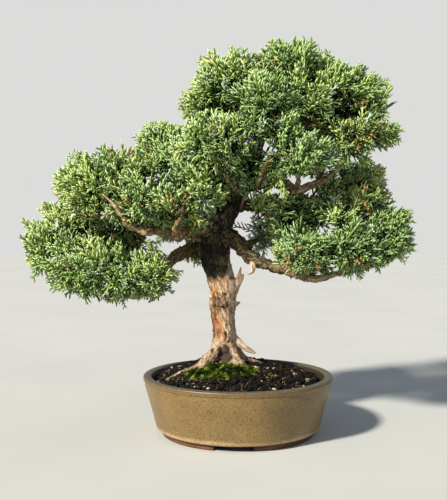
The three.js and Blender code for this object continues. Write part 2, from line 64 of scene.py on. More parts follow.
# Each station is [x, y, z, radius].
TRUNK = [
    [-9, 8, 46, 22], [-10, 7, 62, 21], [-11, 6, 74, 19.5], [-12, 5, 85, 16], [-13, 3, 98, 12.4],
    [-14, 1, 112, 11], [-15, 0, 125, 12], [-15, -1, 136, 13.6], [-14, -2, 150, 13.3],
    [-17, -3, 165, 13.6], [-22, -4, 180, 13.6], [-23, -5, 195, 14.2], [-21, -5, 210, 12.8],
    [-14, -4, 228, 11], [-4, -2, 245, 9.9], [5, 0, 261, 9], [13, 2, 279, 7.8],
    [19, 3, 300, 6.6], [26, 2, 322, 5.2], [34, 0, 345, 3.8], [43, -4, 374, 2.2],
]
LIMBS = {
    "rightLow": [
        [-17, -6, 209, 8], [1, -14, 199, 7], [13, -22, 185, 6], [29, -29, 178, 5.2],
        [49, -35, 172, 4.5], [66, -39, 167, 3.9], [80, -40, 165, 3.5], [97, -38, 169, 2.8],
        [118, -34, 172, 2.2], [138, -30, 179, 1.8], [149, -30, 193, 1.4],
    ],
    "leftLow": [
        [-22, 0, 185, 8], [-37, 5, 192, 7], [-54, 9, 191, 6.2], [-68, 8, 184, 5.6],
        [-77, 4, 172, 5.2], [-79, -4, 158, 4.7], [-91, -12, 149, 4.3], [-112, -18, 146, 3.6],
        [-134, -22, 151, 3], [-159, -20, 161, 2.3], [-178, -15, 175, 1.9], [-191, -12, 188, 1.5],
    ],
    "leftMid": [
        [-22, -8, 215, 8], [-36, -17, 219, 7.2], [-49, -28, 215, 6.4], [-64, -34, 212, 5.8],
        [-81, -36, 213, 5], [-99, -35, 216, 4.3], [-116, -33, 225, 3.6], [-129, -29, 239, 3],
        [-140, -26, 250, 2.2], [-153, -26, 257, 1.6],
    ],
    "frontLow": [
        [-66, -34, 213, 4.6], [-61, -42, 227, 3.8], [-51, -50, 240, 3.2], [-39, -55, 256, 2.6],
        [-28, -58, 285, 1.8],
    ],
    "backLeftHigh": [
        [-11, 0, 234, 6], [-26, 20, 250, 5], [-46, 36, 269, 4], [-67, 44, 288, 3],
        [-86, 45, 307, 2],
    ],
    "rightHigh": [
        [6, 0, 260, 6.6], [25, -10, 263, 5.8], [44, -18, 261, 5], [63, -22, 255, 4.3],
        [76, -20, 260, 3.6], [91, -18, 266, 3.1], [105, -18, 280, 2.6], [119, -17, 297, 2.1],
        [133, -14, 309, 1.7], [146, -11, 317, 1.4],
    ],
    "rightMid": [
        [-8, -3, 238, 5.8], [12, 6, 240, 5], [31, 14, 236, 4.6], [54, 21, 230, 4.1],
        [84, 26, 228, 3.4], [114, 31, 236, 2.7], [133, 42, 247, 2.2], [147, 62, 259, 1.5],
    ],
    "backLow": [
        [-17, 0, 212, 5.4], [-6, 26, 205, 4], [7, 52, 200, 3], [19, 80, 199, 2.4],
        [28, 98, 204, 2],
    ],
    "backLeft": [
        [-21, -2, 203, 6.2], [-32, 24, 204, 5.2], [-43, 50, 205, 4.4], [-53, 70, 209, 3.2],
        [-59, 82, 215, 2.2],
    ],
    "topLeft": [
        [12, 2, 277, 5], [2, 0, 298, 4.2], [-8, -4, 321, 3.4], [-19, -8, 341, 2.6],
        [-26, -10, 352, 1.8],
    ],
    "topFront": [[18, 3, 296, 4.6], [20, -16, 307, 3.8], [22, -34, 317, 3], [23, -48, 326, 2]],
    "topRight": [
        [21, 3, 307, 5], [42, 4, 322, 4.2], [66, 4, 336, 3.4], [89, 4, 348, 2.6],
        [108, 2, 358, 1.8],
    ],
    "topBack": [[20, 3, 303, 4.8], [31, 22, 322, 4], [42, 40, 344, 3.2], [54, 56, 372, 2.2]],
}
# Dead, bleached stubs on the trunk's right.
STUBS = [
    [[-4, -4, 148, 4.5], [-1, -6, 157, 3.6], [1, -8, 165, 2.6], [3, -9, 175, 0.7]],
    [[0, -6, 156, 3], [4, -7, 163, 2], [6, -8, 168, 0.6]],
    [[-6, -3, 133, 3.4], [-1, -4, 136, 2.2], [2.5, -5, 138, 0.8]],
    [[-4, 1, 98, 5], [5, -2, 91, 3.6], [12, -4, 86.5, 2.8], [18.5, -5, 83.5, 1.3]],
]
TORN_TWIG = [[14, -24, 186, 3.4], [15, -27, 178, 3], [14.5, -28, 171, 2.4], [9, -28, 168.5, 1]]
# Bare twigs that show on the faces of the clumps.
BARE_TWIGS = [
    [[-78, -36, 213, 3.6], [-84, -50, 213, 3.2], [-92, -57, 211, 3.4], [-100, -58, 214, 2.4],
     [-108, -61, 217, 2.6], [-114, -66, 226, 1.7], [-121, -65, 237, 1.7], [-134, -60, 249, 1]],
    [[-62, -35, 211, 3.6], [-60, -50, 208, 5], [-62, -62, 216, 2.6], [-56, -67, 227, 2.1],
     [-54, -71, 237, 1.5], [-46, -74, 248, 0.9]],
    [[25, -12, 262, 3.6], [21, -38, 258, 3.2], [18, -56, 259, 2.8], [24, -67, 268, 2.5],
     [25, -72, 276, 1.8], [34, -75, 283, 1]],
    [[12, -4, 262, 3.4], [0, -40, 256, 2.8], [-7, -66, 257, 2.1], [-14, -73, 264, 1.6],
     [-17, -75, 272, 1.2], [-23, -78, 277, 0.9]],
]
# Surface roots: each station is [x, y, lift over the soil, radius].
ROOTS = [
    [[-19, 0, 15, 9], [-26, -7, 12, 6.5], [-32, -14, 7, 5], [-37, -21, 3.4, 4.2],
     [-41, -28, -0.5, 3.4], [-44, -33, -3, 2.4]],
    [[-28, -3, 11, 6], [-40, -9, 3.5, 3.4], [-50, -14, 1.8, 2.4], [-60, -17, 1.1, 2],
     [-70, -21, 0.6, 1.7], [-76, -23, -1, 1.3]],
    [[-14, -8, 2, 5], [-17, -17, 2.5, 3.4], [-19, -24, 1, 2.8], [-21, -29, -2, 2]],
    [[-10, -2, 16, 9], [-7, -12, 11, 6.6], [-1, -20, 7, 5.6], [5, -25, 3, 4.8], [8, -28, -2, 3.6]],
    [[-5, 6, 8, 8], [9, 8, 1, 5], [21, 9, -1, 3.6], [33, 10, -3, 2.4]],
    [[-10, 8, 11, 9], [-6, 24, 4, 6.4], [0, 39, 1, 4.4], [6, 52, -1, 2.6]],
    [[-15, 8, 11, 9], [-27, 21, 4.5, 6], [-38, 33, 1, 4], [-48, 44, -1, 2.4]],
]
# Each leafy clump: its middle, its reach along x, y and z, and the limb that a twig to it
# leaves, with that limb's share of its length there.
CLUMPS = {
    "left_low_tip": [(-195, -10, 193), (31, 30, 30)],
    "left_low_front": [(-157, -32, 171), (36, 32, 38), "leftLow", 0.8],
    "left_low_inner": [(-107, -26, 167), (40, 32, 32), "leftLow", 0.62],
    "left_low_back": [(-175, 20, 222), (40, 34, 28), "leftLow", 0.86],
    "left_low_rear": [(-128, 26, 202), (34, 31, 27), "leftLow", 0.68],
    "left_mid_tip": [(-152, -26, 254), (32, 32, 32)],
    "left_mid_crown": [(-119, -14, 263), (33, 34, 34), "leftMid", 0.7],
    "left_mid_inner": [(-89, -45, 239), (33, 30, 27), "leftMid", 0.45],
    "left_mid_front": [(-42, -53, 251), (26, 28, 25)],
    "left_mid_under": [(-116, -38, 236), (32, 27, 23), "leftMid", 0.62],
    "left_mid_low": [(-72, -38, 227), (25, 22, 16), "leftMid", 0.4],
    "front_crown": [(-25, -58, 294), (39, 34, 32)],
    "back_left_high": [(-80, 44, 305), (31, 34, 28)],
    "mid_left_heart": [(-62, 0, 281), (31, 33, 30), "backLeftHigh", 0.42],
    "front_under": [(-14, -26, 262), (25, 22, 17)],
    "top_left": [(-20, -12, 345), (34, 34, 32)],
    "top_left_crest": [(-5, -20, 370), (31, 30, 22), "topLeft", 0.62],
    "top_left_back": [(-17, 50, 346), (40, 33, 36), "topBack", 0.4],
    "apex": [(53, -8, 372), (39, 38, 34)],
    "top_front": [(20, -52, 332), (33, 32, 30)],
    "top_right": [(109, 0, 349), (44, 38, 33)],
    "top_right_front": [(75, -32, 342), (25, 24, 21), "topRight", 0.5],
    "crown_heart": [(14, -36, 277), (28, 24, 26), "topFront", 0.25],
    "crown_right_heart": [(56, -14, 320), (27, 26, 23), "topRight", 0.35],
    "top_back": [(56, 58, 379), (46, 33, 37)],
    "top_right_back": [(106, 60, 342), (40, 32, 34), "topRight", 0.55],
    "right_high": [(110, -20, 310), (38, 33, 31), "rightHigh", 0.7],
    "right_high_tip": [(144, -10, 316), (20, 23, 23)],
    "front_right": [(60, -56, 285), (37, 30, 25), "rightHigh", 0.35],
    "right_mid_inner": [(69, 34, 238), (42, 32, 28), "rightMid", 0.42],
    "right_mid_tip": [(131, 14, 250), (36, 31, 30)],
    "right_mid_back": [(143, 72, 266), (25, 28, 29)],
    "right_mid_hang": [(40, -22, 240), (28, 22, 17), "rightMid", 0.3],
    "right_mid_high": [(85, 0, 277), (31, 26, 17), "rightHigh", 0.5],
    "right_mid_top": [(88, -8, 246), (28, 24, 18), "rightMid", 0.56],
    "right_mid_low": [(60, -6, 221), (32, 25, 18), "rightMid", 0.36],
    "right_mid_front": [(112, -20, 228), (34, 27, 21), "rightMid", 0.66],
    "right_low_inner": [(68, -42, 186), (36, 29, 24), "rightLow", 0.5],
    "right_low_mid": [(112, -42, 193), (35, 31, 28), "rightLow", 0.72],
    "right_low_tip": [(148, -30, 204), (29, 29, 30)],
    "back_low": [(31, 108, 209), (36, 32, 36)],
    "back_left_low": [(-60, 86, 224), (40, 33, 32)],
}
# Single long shoots that stand out of the outline: the foot of each and the way it points.
LEADERS = [
    [(-30, -20, 378), (-0.6, -0.1, 0.8)], [(2, -20, 382), (0.05, 0, 1)],
    [(48, -8, 394), (0.1, 0, 1)], [(75, -8, 388), (-0.1, 0, 1)], [(92, -6, 376), (-0.5, 0, 0.9)],
    [(143, -4, 364), (0.9, 0, 0.4)], [(152, -10, 312), (1, 0, 0.1)],
    [(164, -30, 225), (0.85, 0, 0.55)], [(-89, 40, 320), (-0.3, 0, 0.95)],
    [(-202, 18, 230), (-0.5, 0.1, 0.85)], [(-207, -10, 204), (-0.95, 0, 0.3)],
    [(-124, -32, 150), (-0.1, -0.1, -0.95)], [(-142, -32, 158), (0, -0.1, -1)],
    [(-190, -14, 176), (-0.7, -0.1, -0.6)], [(-178, -20, 164), (-0.6, 0, -0.75)],
    [(-166, -28, 272), (-0.8, 0, 0.5)], [(-72, -22, 170), (0.85, -0.1, -0.3)],
    [(114, -42, 176), (0.1, -0.1, -0.95)], [(-42, -50, 226), (0.75, -0.2, -0.6)],
    [(-44, -14, 350), (-0.9, 0, 0.2)], [(40, -56, 258), (0.2, -0.3, -0.9)],
    [(158, -30, 190), (0.85, 0, -0.45)], [(-40, 84, 198), (0.1, 0, -1)],
    [(-28, -14, 384), (-0.7, 0, 0.6)], [(-4, -20, 388), (0.2, 0, 1)], [(90, 2, 384), (0.15, 0, 1)],
    [(84, 0, 380), (-0.2, 0, 1)], [(134, -6, 366), (0.8, 0, 0.5)],
    [(-50, -12, 348), (-0.9, 0, -0.3)], [(-46, -12, 340), (-0.8, 0, -0.8)],
    [(-188, -12, 214), (-0.9, 0, 0.5)], [(-196, 14, 238), (-0.9, 0, 0.4)],
    [(-160, -22, 284), (-0.5, 0, 0.9)], [(128, -20, 286), (0.8, 0, -0.5)],
    [(-150, -30, 158), (-0.4, 0, -0.9)], [(100, 0, 376), (0.3, 0, 1)],
    [(106, -4, 372), (0.2, 0, 1)], [(96, 4, 378), (0, 0, 1)], [(112, 0, 370), (0.4, 0, 1)],
    [(138, -4, 364), (0.5, 0, 0.8)], [(-48, -12, 336), (-1, 0, 0.1)], [(-50, 84, 194), (0, 0, -1)],
    [(-46, 80, 188), (0.2, 0, -1)], [(-34, 84, 192), (0, 0, -1)], [(46, -36, 186), (-0.9, 0, 0.4)],
    [(48, -38, 193), (-0.8, 0, 0.5)], [(-86, -34, 194), (0.8, 0, -0.5)],
    [(-214, -8, 214), (-0.9, 0, 0.4)], [(-212, 0, 204), (-0.9, 0, 0.1)],
    [(-52, 84, 188), (0.1, 0, -1)], [(-44, 82, 184), (0, 0, -1)], [(-56, 84, 196), (0, 0, -1)],
    [(90, 0, 386), (0.05, 0, 1)], [(98, 0, 382), (0.1, 0, 1)], [(140, 2, 366), (0.7, 0, 0.6)],
]
# Clearings among the leaves, where wood, sky or deep shade shows: middle and reach.
CLEARINGS = [
    [(-62, -70, 215), (28, 24, 13)], [(70, 0, 262), (22, 110, 11)], [(46, -5, 256), (17, 100, 9)],
    [(82, 10, 250), (10, 60, 6)], [(-10, -50, 336), (24, 26, 11)], [(79, -28, 368), (12, 18, 11)],
    [(112, -34, 334), (15, 24, 12)], [(82, -48, 308), (14, 20, 9)],
    [(-57, -52, 261), (16, 26, 13)], [(-76, -36, 303), (16, 28, 13)],
    [(80, -58, 217), (20, 28, 13)], [(17, 20, 231), (15, 100, 13)],
    [(-152, -50, 216), (26, 16, 7)], [(92, -44, 156), (50, 30, 9)], [(88, -72, 165), (56, 32, 11)],
    [(-68, 20, 337), (14, 40, 7)], [(-202, 0, 243), (14, 60, 8)], [(165, 0, 358), (10, 40, 14)],
    [(176, -5, 333), (9, 30, 9)], [(168, 14, 264), (9, 30, 10)], [(189, -28, 204), (10, 40, 22)],
    [(166, -30, 174), (13, 30, 8)], [(-60, -12, 374), (11, 40, 16)],
    [(-95, -26, 134), (30, 40, 9)], [(-150, -30, 132), (24, 40, 7)],
    [(-82, -20, 200), (28, 60, 10)], [(150, 0, 290), (15, 60, 7)], [(-225, 0, 230), (12, 40, 10)],
    [(-233, -10, 186), (12, 40, 16)], [(-133, -52, 241), (12, 18, 8)],
    [(-182, -20, 141), (22, 40, 9)], [(-95, -20, 203), (20, 60, 9)],
    [(-98, -78, 217), (22, 14, 6)], [(-120, -84, 238), (8, 13, 10)],
    [(-56, -88, 226), (6, 13, 12)], [(25, -90, 268), (8, 16, 10)], [(-15, -92, 264), (6, 14, 7)],
    [(38, -50, 200), (12, 26, 7)], [(96, 10, 262), (10, 70, 7)],
]
# How much brighter a clump's shoots are than the others', and its share of their tufts. The
# brightness is painted light and shade: lit clumps brighter, shaded ones darker, over the clumps'
# own tones.
PAINTED_CLUMP_LIGHT = {
    "left_mid_tip": (2.2, 1), "left_mid_crown": (1.4, 1), "left_mid_inner": (0.2, 1),
    "left_mid_front": (-0.6, 1), "left_mid_under": (1.5, 1), "left_low_back": (4.4, 1),
    "left_low_rear": (3.4, 1), "left_low_tip": (1.5, 1), "left_low_inner": (0.3, 1),
    "left_low_front": (0.8, 1), "front_crown": (1.0, 1), "front_under": (-1.6, 0.7),
    "front_right": (-1.6, 0.8), "top_left": (1.5, 1), "top_left_crest": (0.5, 1),
    "apex": (-0.9, 1), "top_right": (-0.9, 1), "top_right_front": (1.2, 1.2),
    "crown_right_heart": (-1.2, 1), "crown_heart": (1.4, 1), "top_front": (-1.0, 1),
    "mid_left_heart": (-1.4, 1), "right_high": (1.7, 0.65), "right_high_tip": (2.2, 0.6),
    "right_mid_hang": (0.6, 0.6), "right_mid_high": (1.6, 0.45), "right_mid_top": (2.6, 0.5),
    "right_mid_low": (-0.8, 0.7), "right_mid_front": (1.3, 0.75), "right_mid_tip": (3.6, 0.65),
    "right_mid_back": (3.0, 0.8), "right_mid_inner": (2.4, 0.45), "right_low_inner": (-3.4, 1),
    "right_low_mid": (-4.0, 1), "right_low_tip": (-2.8, 1), "back_low": (5.5, 0.15),
    "back_left_low": (1.5, 0.6),
}
# Hollows in the trunk's surface: middle, half width, half height and depth.
HOLLOWS = [
    [(-13, -12, 103), 2.4, 5, 4],
    [(-14.5, -17, 82), 7.6, 9.5, 10],
    [(4.5, -12, 86), 4.6, 9, 9],
    [(-9, -17, 84), 3.4, 8, 5],
    [(-27, -10, 90), 2.4, 8, 3.4],
    [(-3, -14, 97), 2, 7, 2.6],
    [(-20.5, -13, 141), 2.8, 2.4, 3],
    [(-14, -14.5, 146), 3, 1.6, 1.6],
    [(-15, -14.5, 132), 2.4, 3.4, 2],
    [(-24, -10, 134), 2, 4, 1.6],
]
KNOT = (-19, -14, 138)
CROWN = (-4, 10, 72)  # the soil mound's summit
BORE_FOOT, BORE_RIM = (78, 13), (91.5, 61)  # radius and height of the pot's inner wall
MOSS_BED = {"x": -19, "y": -31, "radius_x": 35, "radius_y": 18, "height": 6}
# Patches of moss: middle x and y, reach along x and y, and share of the tufts.
MOSS_PATCHES = [
    (MOSS_BED["x"], MOSS_BED["y"], MOSS_BED["radius_x"] * 1.04, MOSS_BED["radius_y"] * 1.06, 0.74),
    (-52, -14, 13, 7, 0.06), (-40, -4, 16, 5, 0.06), (22, -34, 13, 8, 0.05),
    (-66, -22, 9, 6, 0.03), (16, 24, 14, 8, 0.03), (-30, 32, 12, 9, 0.03),
]
SOIL_LEVEL = 51  # the soil's height along the pot's wall
SOIL_FLOOR = 13.3  # the soil's underside, on the pot's floor
FOOT_MIDDLE, FOOT_CUT = 76.5, 37  # the foot's middle radius, and the width of a cut in it
TONES = 12  # bands of the leaf pattern, from deep green to yellow green, then dry and bluish
DRY, BLUISH = 10, 11
# In the back clumps the pale bluish sprays are painted light: they brighten foliage that lies in
# shade.
BLUISH_SHARE = {"back_low": 0.55, "back_left_low": 0.3}  # elsewhere it is 0.03
GRAIN_SHAPES = ((1, 1), (2, 1.2), (3, 1.5), (4, 2.2))  # seed, and how much longer than wide
TUFT_SHAPES = 3
SPRAY_SEEDS = (11, 12, 13, 14, 15)
SIDE_SHOOTS = 8
GOLDEN_TURN = 2.39996  # from one spot to the next, spreads spots evenly round a middle
FULL_TURN = 6.283
# The photograph's view: the camera's place from the pot's axis, its tilt and its lens.
VIEW_FROM, VIEW_DOWN, VIEW_LENS = (-0.0153, -0.82, 0.2135), math.atan(20 / 775), 55.8


# ---------------------------------------------------------------- measures

def mm(metres):
    """A length of a setting, in the drawing's millimetres."""
    return metres * 1000


def shade(red, green, blue):
    """A colour given as 0-255 values of a display, as Blender's linear colour."""
    def linear(value):
        value /= 255
        return value / 12.92 if value <= 0.04045 else ((value + 0.055) / 1.055) ** 2.4
    return (linear(red), linear(green), linear(blue), 1.0)


def tint(colour):
    """A colour given as three 0-255 values is made linear; anything else stays as it is."""
    return shade(*colour) if isinstance(colour, tuple) and len(colour) == 3 else colour


def rgba(colour):
    """The colour of a setting, opaque."""
    return (*colour, 1.0)


def ease(low, high, value):
    """0 at low and 1 at high with soft ends; high may be the lower."""
    share = min(max((value - low) / (high - low), 0), 1)
    return share * share * (3 - 2 * share)


def bore_radius(z):
    """The radius of the pot's inner wall at a height."""
    share = (z - BORE_FOOT[1]) / (BORE_RIM[1] - BORE_FOOT[1])
    return BORE_FOOT[0] + share * (BORE_RIM[0] - BORE_FOOT[0])


SOIL_EDGE = bore_radius(SOIL_LEVEL) - 0.3  # the soil ends just short of the wall


def soil_height(x, y):
    """The height of the plain mound."""
    share = math.hypot(x - CROWN[0], y - CROWN[1]) / 90
    return max(CROWN[2] - 19 * share * share, SOIL_LEVEL)


def soil_surface(x, y):
    """The mound's height with its lumps, drawn down to one level along the pot's wall."""
    inward = ease(0, 8, SOIL_EDGE - math.hypot(x, y))
    coarse = math.sin(0.21 * x + 0.13 * y + 1) * math.cos(0.17 * y - 0.11 * x)
    fine = math.sin(0.53 * x - 0.31 * y) * math.sin(0.47 * y + 0.39 * x + 2)
    level = SOIL_LEVEL + inward * (soil_height(x, y) - SOIL_LEVEL)
    return level + inward * 1.3 * (0.6 * coarse + 0.4 * fine)


def in_cube(chance):
    """A spot drawn evenly from a cube that reaches 1 to each side."""
    return Vector([chance.uniform(-1, 1) for _ in range(3)])


def in_cloud(chance):
    """A spot drawn from a round cloud."""
    return Vector([chance.gauss(0, 1) for _ in range(3)])


def tumbled(chance, lean):
    """Any turn, and a lean to either side."""
    turn = Matrix.Rotation(chance.uniform(0, 6.28), 4, "Z")
    return turn @ Matrix.Rotation(chance.uniform(-lean, lean), 4, "X")


# ---------------------------------------------------------------- shaping

def path_through(stations, spacing):
    """Points and radii along a smooth curve through the stations."""
    points = [Vector(station[:3]) for station in stations]
    points = [2 * points[0] - points[1], *points, 2 * points[-1] - points[-2]]
    path = []
    for i in range(1, len(points) - 2):
        corners = points[i - 1 : i + 3]
        knots = [0.0]
        for a, b in zip(corners, corners[1:]):
            knots.append(knots[-1] + math.sqrt((b - a).length))
        steps = max(1, math.ceil((corners[2] - corners[1]).length / spacing))
        for k in range(steps):
            t = knots[1] + (knots[2] - knots[1]) * k / steps
            row = corners
            for spans in (((0, 1), (1, 2), (2, 3)), ((0, 2), (1, 3)), ((1, 2),)):
                row = [
                    a.lerp(b, (t - knots[low]) / (knots[high] - knots[low]))
                    for a, b, (low, high) in zip(row, row[1:], spans)
                ]
            radius = stations[i - 1][3] + (stations[i][3] - stations[i - 1][3]) * k / steps
            path.append((row[0], radius))
    path.append((points[-2], stations[-1][3]))
    return path


def frames_along(path, across=(0, -1, 0.2)):
    """A frame at each point: x to the viewer's side, z along the path, carried without twist."""
    across = Vector(across)
    frames = []
    for i, (centre, radius) in enumerate(path):
        before, after = path[max(i - 1, 0)][0], path[min(i + 1, len(path) - 1)][0]
        along = (after - before).normalized()
        across = (across - along * across.dot(along)).normalized()
        beside = along.cross(across)
        turn = Matrix((across, beside, along)).transposed().to_4x4()
        frames.append((Matrix.Translation(centre) @ turn, radius))
    return frames


def sweep(bm, frames, sides, tip=0.0):
    """Carry a ring along the frames; the far end is closed flat, or drawn out to a tip."""
    places = [place @ Matrix.Scale(max(radius, 0.05), 4) for place, radius in frames]
    ring = bmesh.ops.create_circle(
        bm, cap_ends=True, segments=sides, radius=1, matrix=places[0]
    )["verts"]
    edges = list({edge for vert in ring for edge in vert.link_edges})
    rings = [ring]
    for last, place in zip(places, places[1:]):
        new = bmesh.ops.extrude_edge_only(bm, edges=edges)["geom"]
        ring = [part for part in new if isinstance(part, bmesh.types.BMVert)]
        fresh = set(ring)
        edges = [
            part for part in new
            if isinstance(part, bmesh.types.BMEdge) and set(part.verts) <= fresh
        ]
        bmesh.ops.transform(bm, matrix=place @ last.inverted(), verts=ring)
        rings.append(ring)
    end = bmesh.ops.edgeloop_fill(bm, edges=edges)["faces"]
    if tip:
        pole = bmesh.ops.poke(bm, faces=end)["verts"]
        along = frames[-1][0].to_3x3() @ Vector((0, 0, tip))
        bmesh.ops.translate(bm, verts=pole, vec=along)
        rings.append(pole)
    return rings


def turned(bm, outline, steps, closed=False):
    """Turn an outline of (radius, height) points about the pot's axis."""
    verts = [bm.verts.new((radius, 0, height)) for radius, height in outline]
    pairs = list(zip(verts, verts[1:])) + ([(verts[-1], verts[0])] if closed else [])
    edges = [bm.edges.new(pair) for pair in pairs]
    bmesh.ops.spin(
        bm, geom=verts + edges, cent=(0, 0, 0), axis=(0, 0, 1),
        angle=2 * math.pi, steps=steps, use_merge=True, use_duplicate=False,
    )
    bmesh.ops.remove_doubles(bm, verts=bm.verts, dist=1e-3)
    bmesh.ops.recalc_face_normals(bm, faces=bm.faces)


def soften(bm, wanted, offset, segments):
    """Round the edges that wanted(edge) picks."""
    edges = [edge for edge in bm.edges if wanted(edge)]
    bmesh.ops.bevel(
        bm, geom=edges, offset=offset, offset_type="OFFSET", segments=segments,
        profile=0.5, affect="EDGES", material=-1, clamp_overlap=True,
    )


def mesh_of(bm, name):
    """A smooth-shaded mesh of what was drawn."""
    mesh = bpy.data.meshes.new(name)
    bm.to_mesh(mesh)
    bm.free()
    mesh.shade_smooth()
    return mesh


def piece(name, bm, material, slot, *nodes):
    """Make a piece of what was drawn in millimetres round the pot's axis."""
    bm.transform(TO_FRAME)
    mesh = mesh_of(bm, name)
    mesh.materials.append(material)
    made = bpy.data.objects.new(name, mesh)
    bpy.context.scene.collection.objects.link(made)
    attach(made, "root")
    if nodes:
        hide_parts(*nodes)
    return made


def repeat(bm, template, place):
    """Add a copy of a template mesh."""
    template.transform(place)
    bm.from_mesh(template)
    template.transform(place.inverted())


def merge(bm, part):
    """Add what was drawn on its own to a piece."""
    mesh = mesh_of(part, "part")
    bm.from_mesh(mesh)
    bpy.data.meshes.remove(mesh)


def one_skin(bm, voxel):
    """Grow overlapping bodies together into one closed skin."""
    mesh = mesh_of(bm, "rough")
    body = bpy.data.objects.new("rough", mesh)
    bpy.context.scene.collection.objects.link(body)
    skin = body.modifiers.new("skin", "REMESH")
    skin.mode = "VOXEL"
    skin.voxel_size = voxel
    view = bpy.context.evaluated_depsgraph_get()
    whole = bpy.data.meshes.new_from_object(body.evaluated_get(view))
    bm = bmesh.new()
    bm.from_mesh(whole)
    for mesh in (whole, body.data):
        bpy.data.meshes.remove(mesh)
    bmesh.ops.smooth_vert(
        bm, verts=bm.verts, factor=0.5, use_axis_x=True, use_axis_y=True, use_axis_z=True
    )
    return bm


# ---------------------------------------------------------------- wiring of materials

class Wiring:
    """Adds nodes to a material or to a shader node group and links them."""

    def __init__(self, tree):
        self.tree = tree

    def fill(self, sockets, values):
        """Link or set the sockets that values names."""
        for key, value in values.items():
            if isinstance(value, bpy.types.NodeSocket):
                self.tree.links.new(value, sockets[key])
            else:
                sockets[key].default_value = value

    def node(self, kind, values=None, **settings):
        node = self.tree.nodes.new(kind)
        for name, value in settings.items():
            setattr(node, name, value)
        self.fill(node.inputs, values or {})
        return node

    def maths(self, operation, a, b=0.5, clamp=False):
        return self.node(
            "ShaderNodeMath", {0: a, 1: b}, operation=operation, use_clamp=clamp
        ).outputs[0]

    def times(self, a, b):
        return self.maths("MULTIPLY", a, b)

    def plus(self, a, b, clamp=False):
        return self.maths("ADD", a, b, clamp)

    def mix(self, factor, a, b, how="MIX"):
        return self.node(
            "ShaderNodeMix", {0: factor, 6: tint(a), 7: tint(b)}, data_type="RGBA", blend_type=how
        ).outputs[2]

    def ramp(self, factor, *stops):
        """A run of tones: each stop is its place and a grey value or a colour."""
        node = self.node("ShaderNodeValToRGB", {0: factor})
        points = node.color_ramp.elements
        while len(points) < len(stops):
            points.new(0.5)
        for point, (place, colour) in zip(points, stops):
            point.position = place
            point.color = tint(colour) if isinstance(colour, tuple) else (colour, colour, colour, 1)
        return node.outputs[0]

    def between(self, value, low, high):
        """0 below low and 1 above high, or the other way round where high is the lower."""
        return self.node(
            "ShaderNodeMapRange", {0: value, 1: low, 2: high, 3: 0.0, 4: 1.0},
            interpolation_type="SMOOTHSTEP",
        ).outputs[0]

    def noise(self, vector, scale, detail=3.0, roughness=0.55, distortion=0.0):
        return self.node(
            "ShaderNodeTexNoise",
            {"Vector": vector, "Scale": scale, "Detail": detail, "Roughness": roughness,
             "Distortion": distortion},
        ).outputs["Fac"]

    def parts(self, vector):
        return self.node("ShaderNodeSeparateXYZ", {0: vector}).outputs

    def drawn_place(self):
        """Where a point lies in the drawing: millimetres round the pot's axis."""
        coordinates = self.node("ShaderNodeTexCoord").outputs["Object"]
        return self.node(
            "ShaderNodeMapping",
            {"Vector": coordinates, "Location": -POT_AXIS * 1000, "Scale": (1000, 1000, 1000)},
        ).outputs[0]

    def attribute(self, name, output="Fac"):
        return self.node("ShaderNodeAttribute", attribute_name=name).outputs[output]

    def bump(self, height, strength, distance):
        return self.node(
            "ShaderNodeBump", {"Height": height, "Strength": strength, "Distance": distance}
        ).outputs[0]

    def group(self, tree, values):
        return self.node("ShaderNodeGroup", values, node_tree=tree).outputs

    def mottled(self, broad, fine):
        """Uneven tones over the drawing, for two sizes of pattern."""
        place = self.drawn_place()
        sizes = {"Vector": place, "Broad Scale": broad, "Fine Scale": fine}
        return place, self.group(mottle(), sizes)

    def banded_map(self, scales):
        """The own map of a small repeat, and the bands of tone that it holds."""
        pattern = self.node("ShaderNodeUVMap", uv_map="OFBake").outputs[0]
        return pattern, self.group(leaf_bands(), {"Map": pattern, "Scales": scales})


def finish(name, dress):
    """A material; dress(wiring) gives the values of its shader's sockets."""
    if name in bpy.data.materials:
        return bpy.data.materials[name]
    material = bpy.data.materials.new(name)
    material.use_nodes = True
    wiring = Wiring(material.node_tree)
    shader = material.node_tree.nodes["Principled BSDF"]
    wiring.fill(shader.inputs, dress(wiring))
    return material


def look(colour, rough, normal, gloss=0.5):
    """The values of a shader's sockets."""
    return {
        "Base Color": colour, "Roughness": rough, "Normal": normal, "Specular IOR Level": gloss,
    }


def effect(name, inputs, outputs, build):
    """A shader node group; build(wiring, inputs) gives its outputs by name."""
    if name in bpy.data.node_groups:
        return bpy.data.node_groups[name]
    tree = bpy.data.node_groups.new(name, "ShaderNodeTree")
    for label, kind, default in inputs:
        socket = tree.interface.new_socket(label, in_out="INPUT", socket_type=kind)
        if default is not None:
            socket.default_value = default
    for label, kind in outputs:
        tree.interface.new_socket(label, in_out="OUTPUT", socket_type=kind)
    wiring = Wiring(tree)
    given = wiring.node("NodeGroupInput").outputs
    wiring.node("NodeGroupOutput", build(wiring, given))
    return tree


def mottle():
    """Uneven tone: broad patches and a fine grain over them."""
    def build(w, given):
        broad = w.noise(given["Vector"], given["Broad Scale"], 4)
        fine = w.noise(given["Vector"], given["Fine Scale"], 3, 0.65)
        return {"Fine": fine, "Both": w.plus(w.times(broad, 0.6), w.times(fine, 0.4))}
    return effect(
        "mottle",
        [("Vector", "NodeSocketVector", None), ("Broad Scale", "NodeSocketFloat", 0.05),
         ("Fine Scale", "NodeSocketFloat", 0.6)],
        [("Fine", "NodeSocketFloat"), ("Both", "NodeSocketFloat")],
        build,
    )


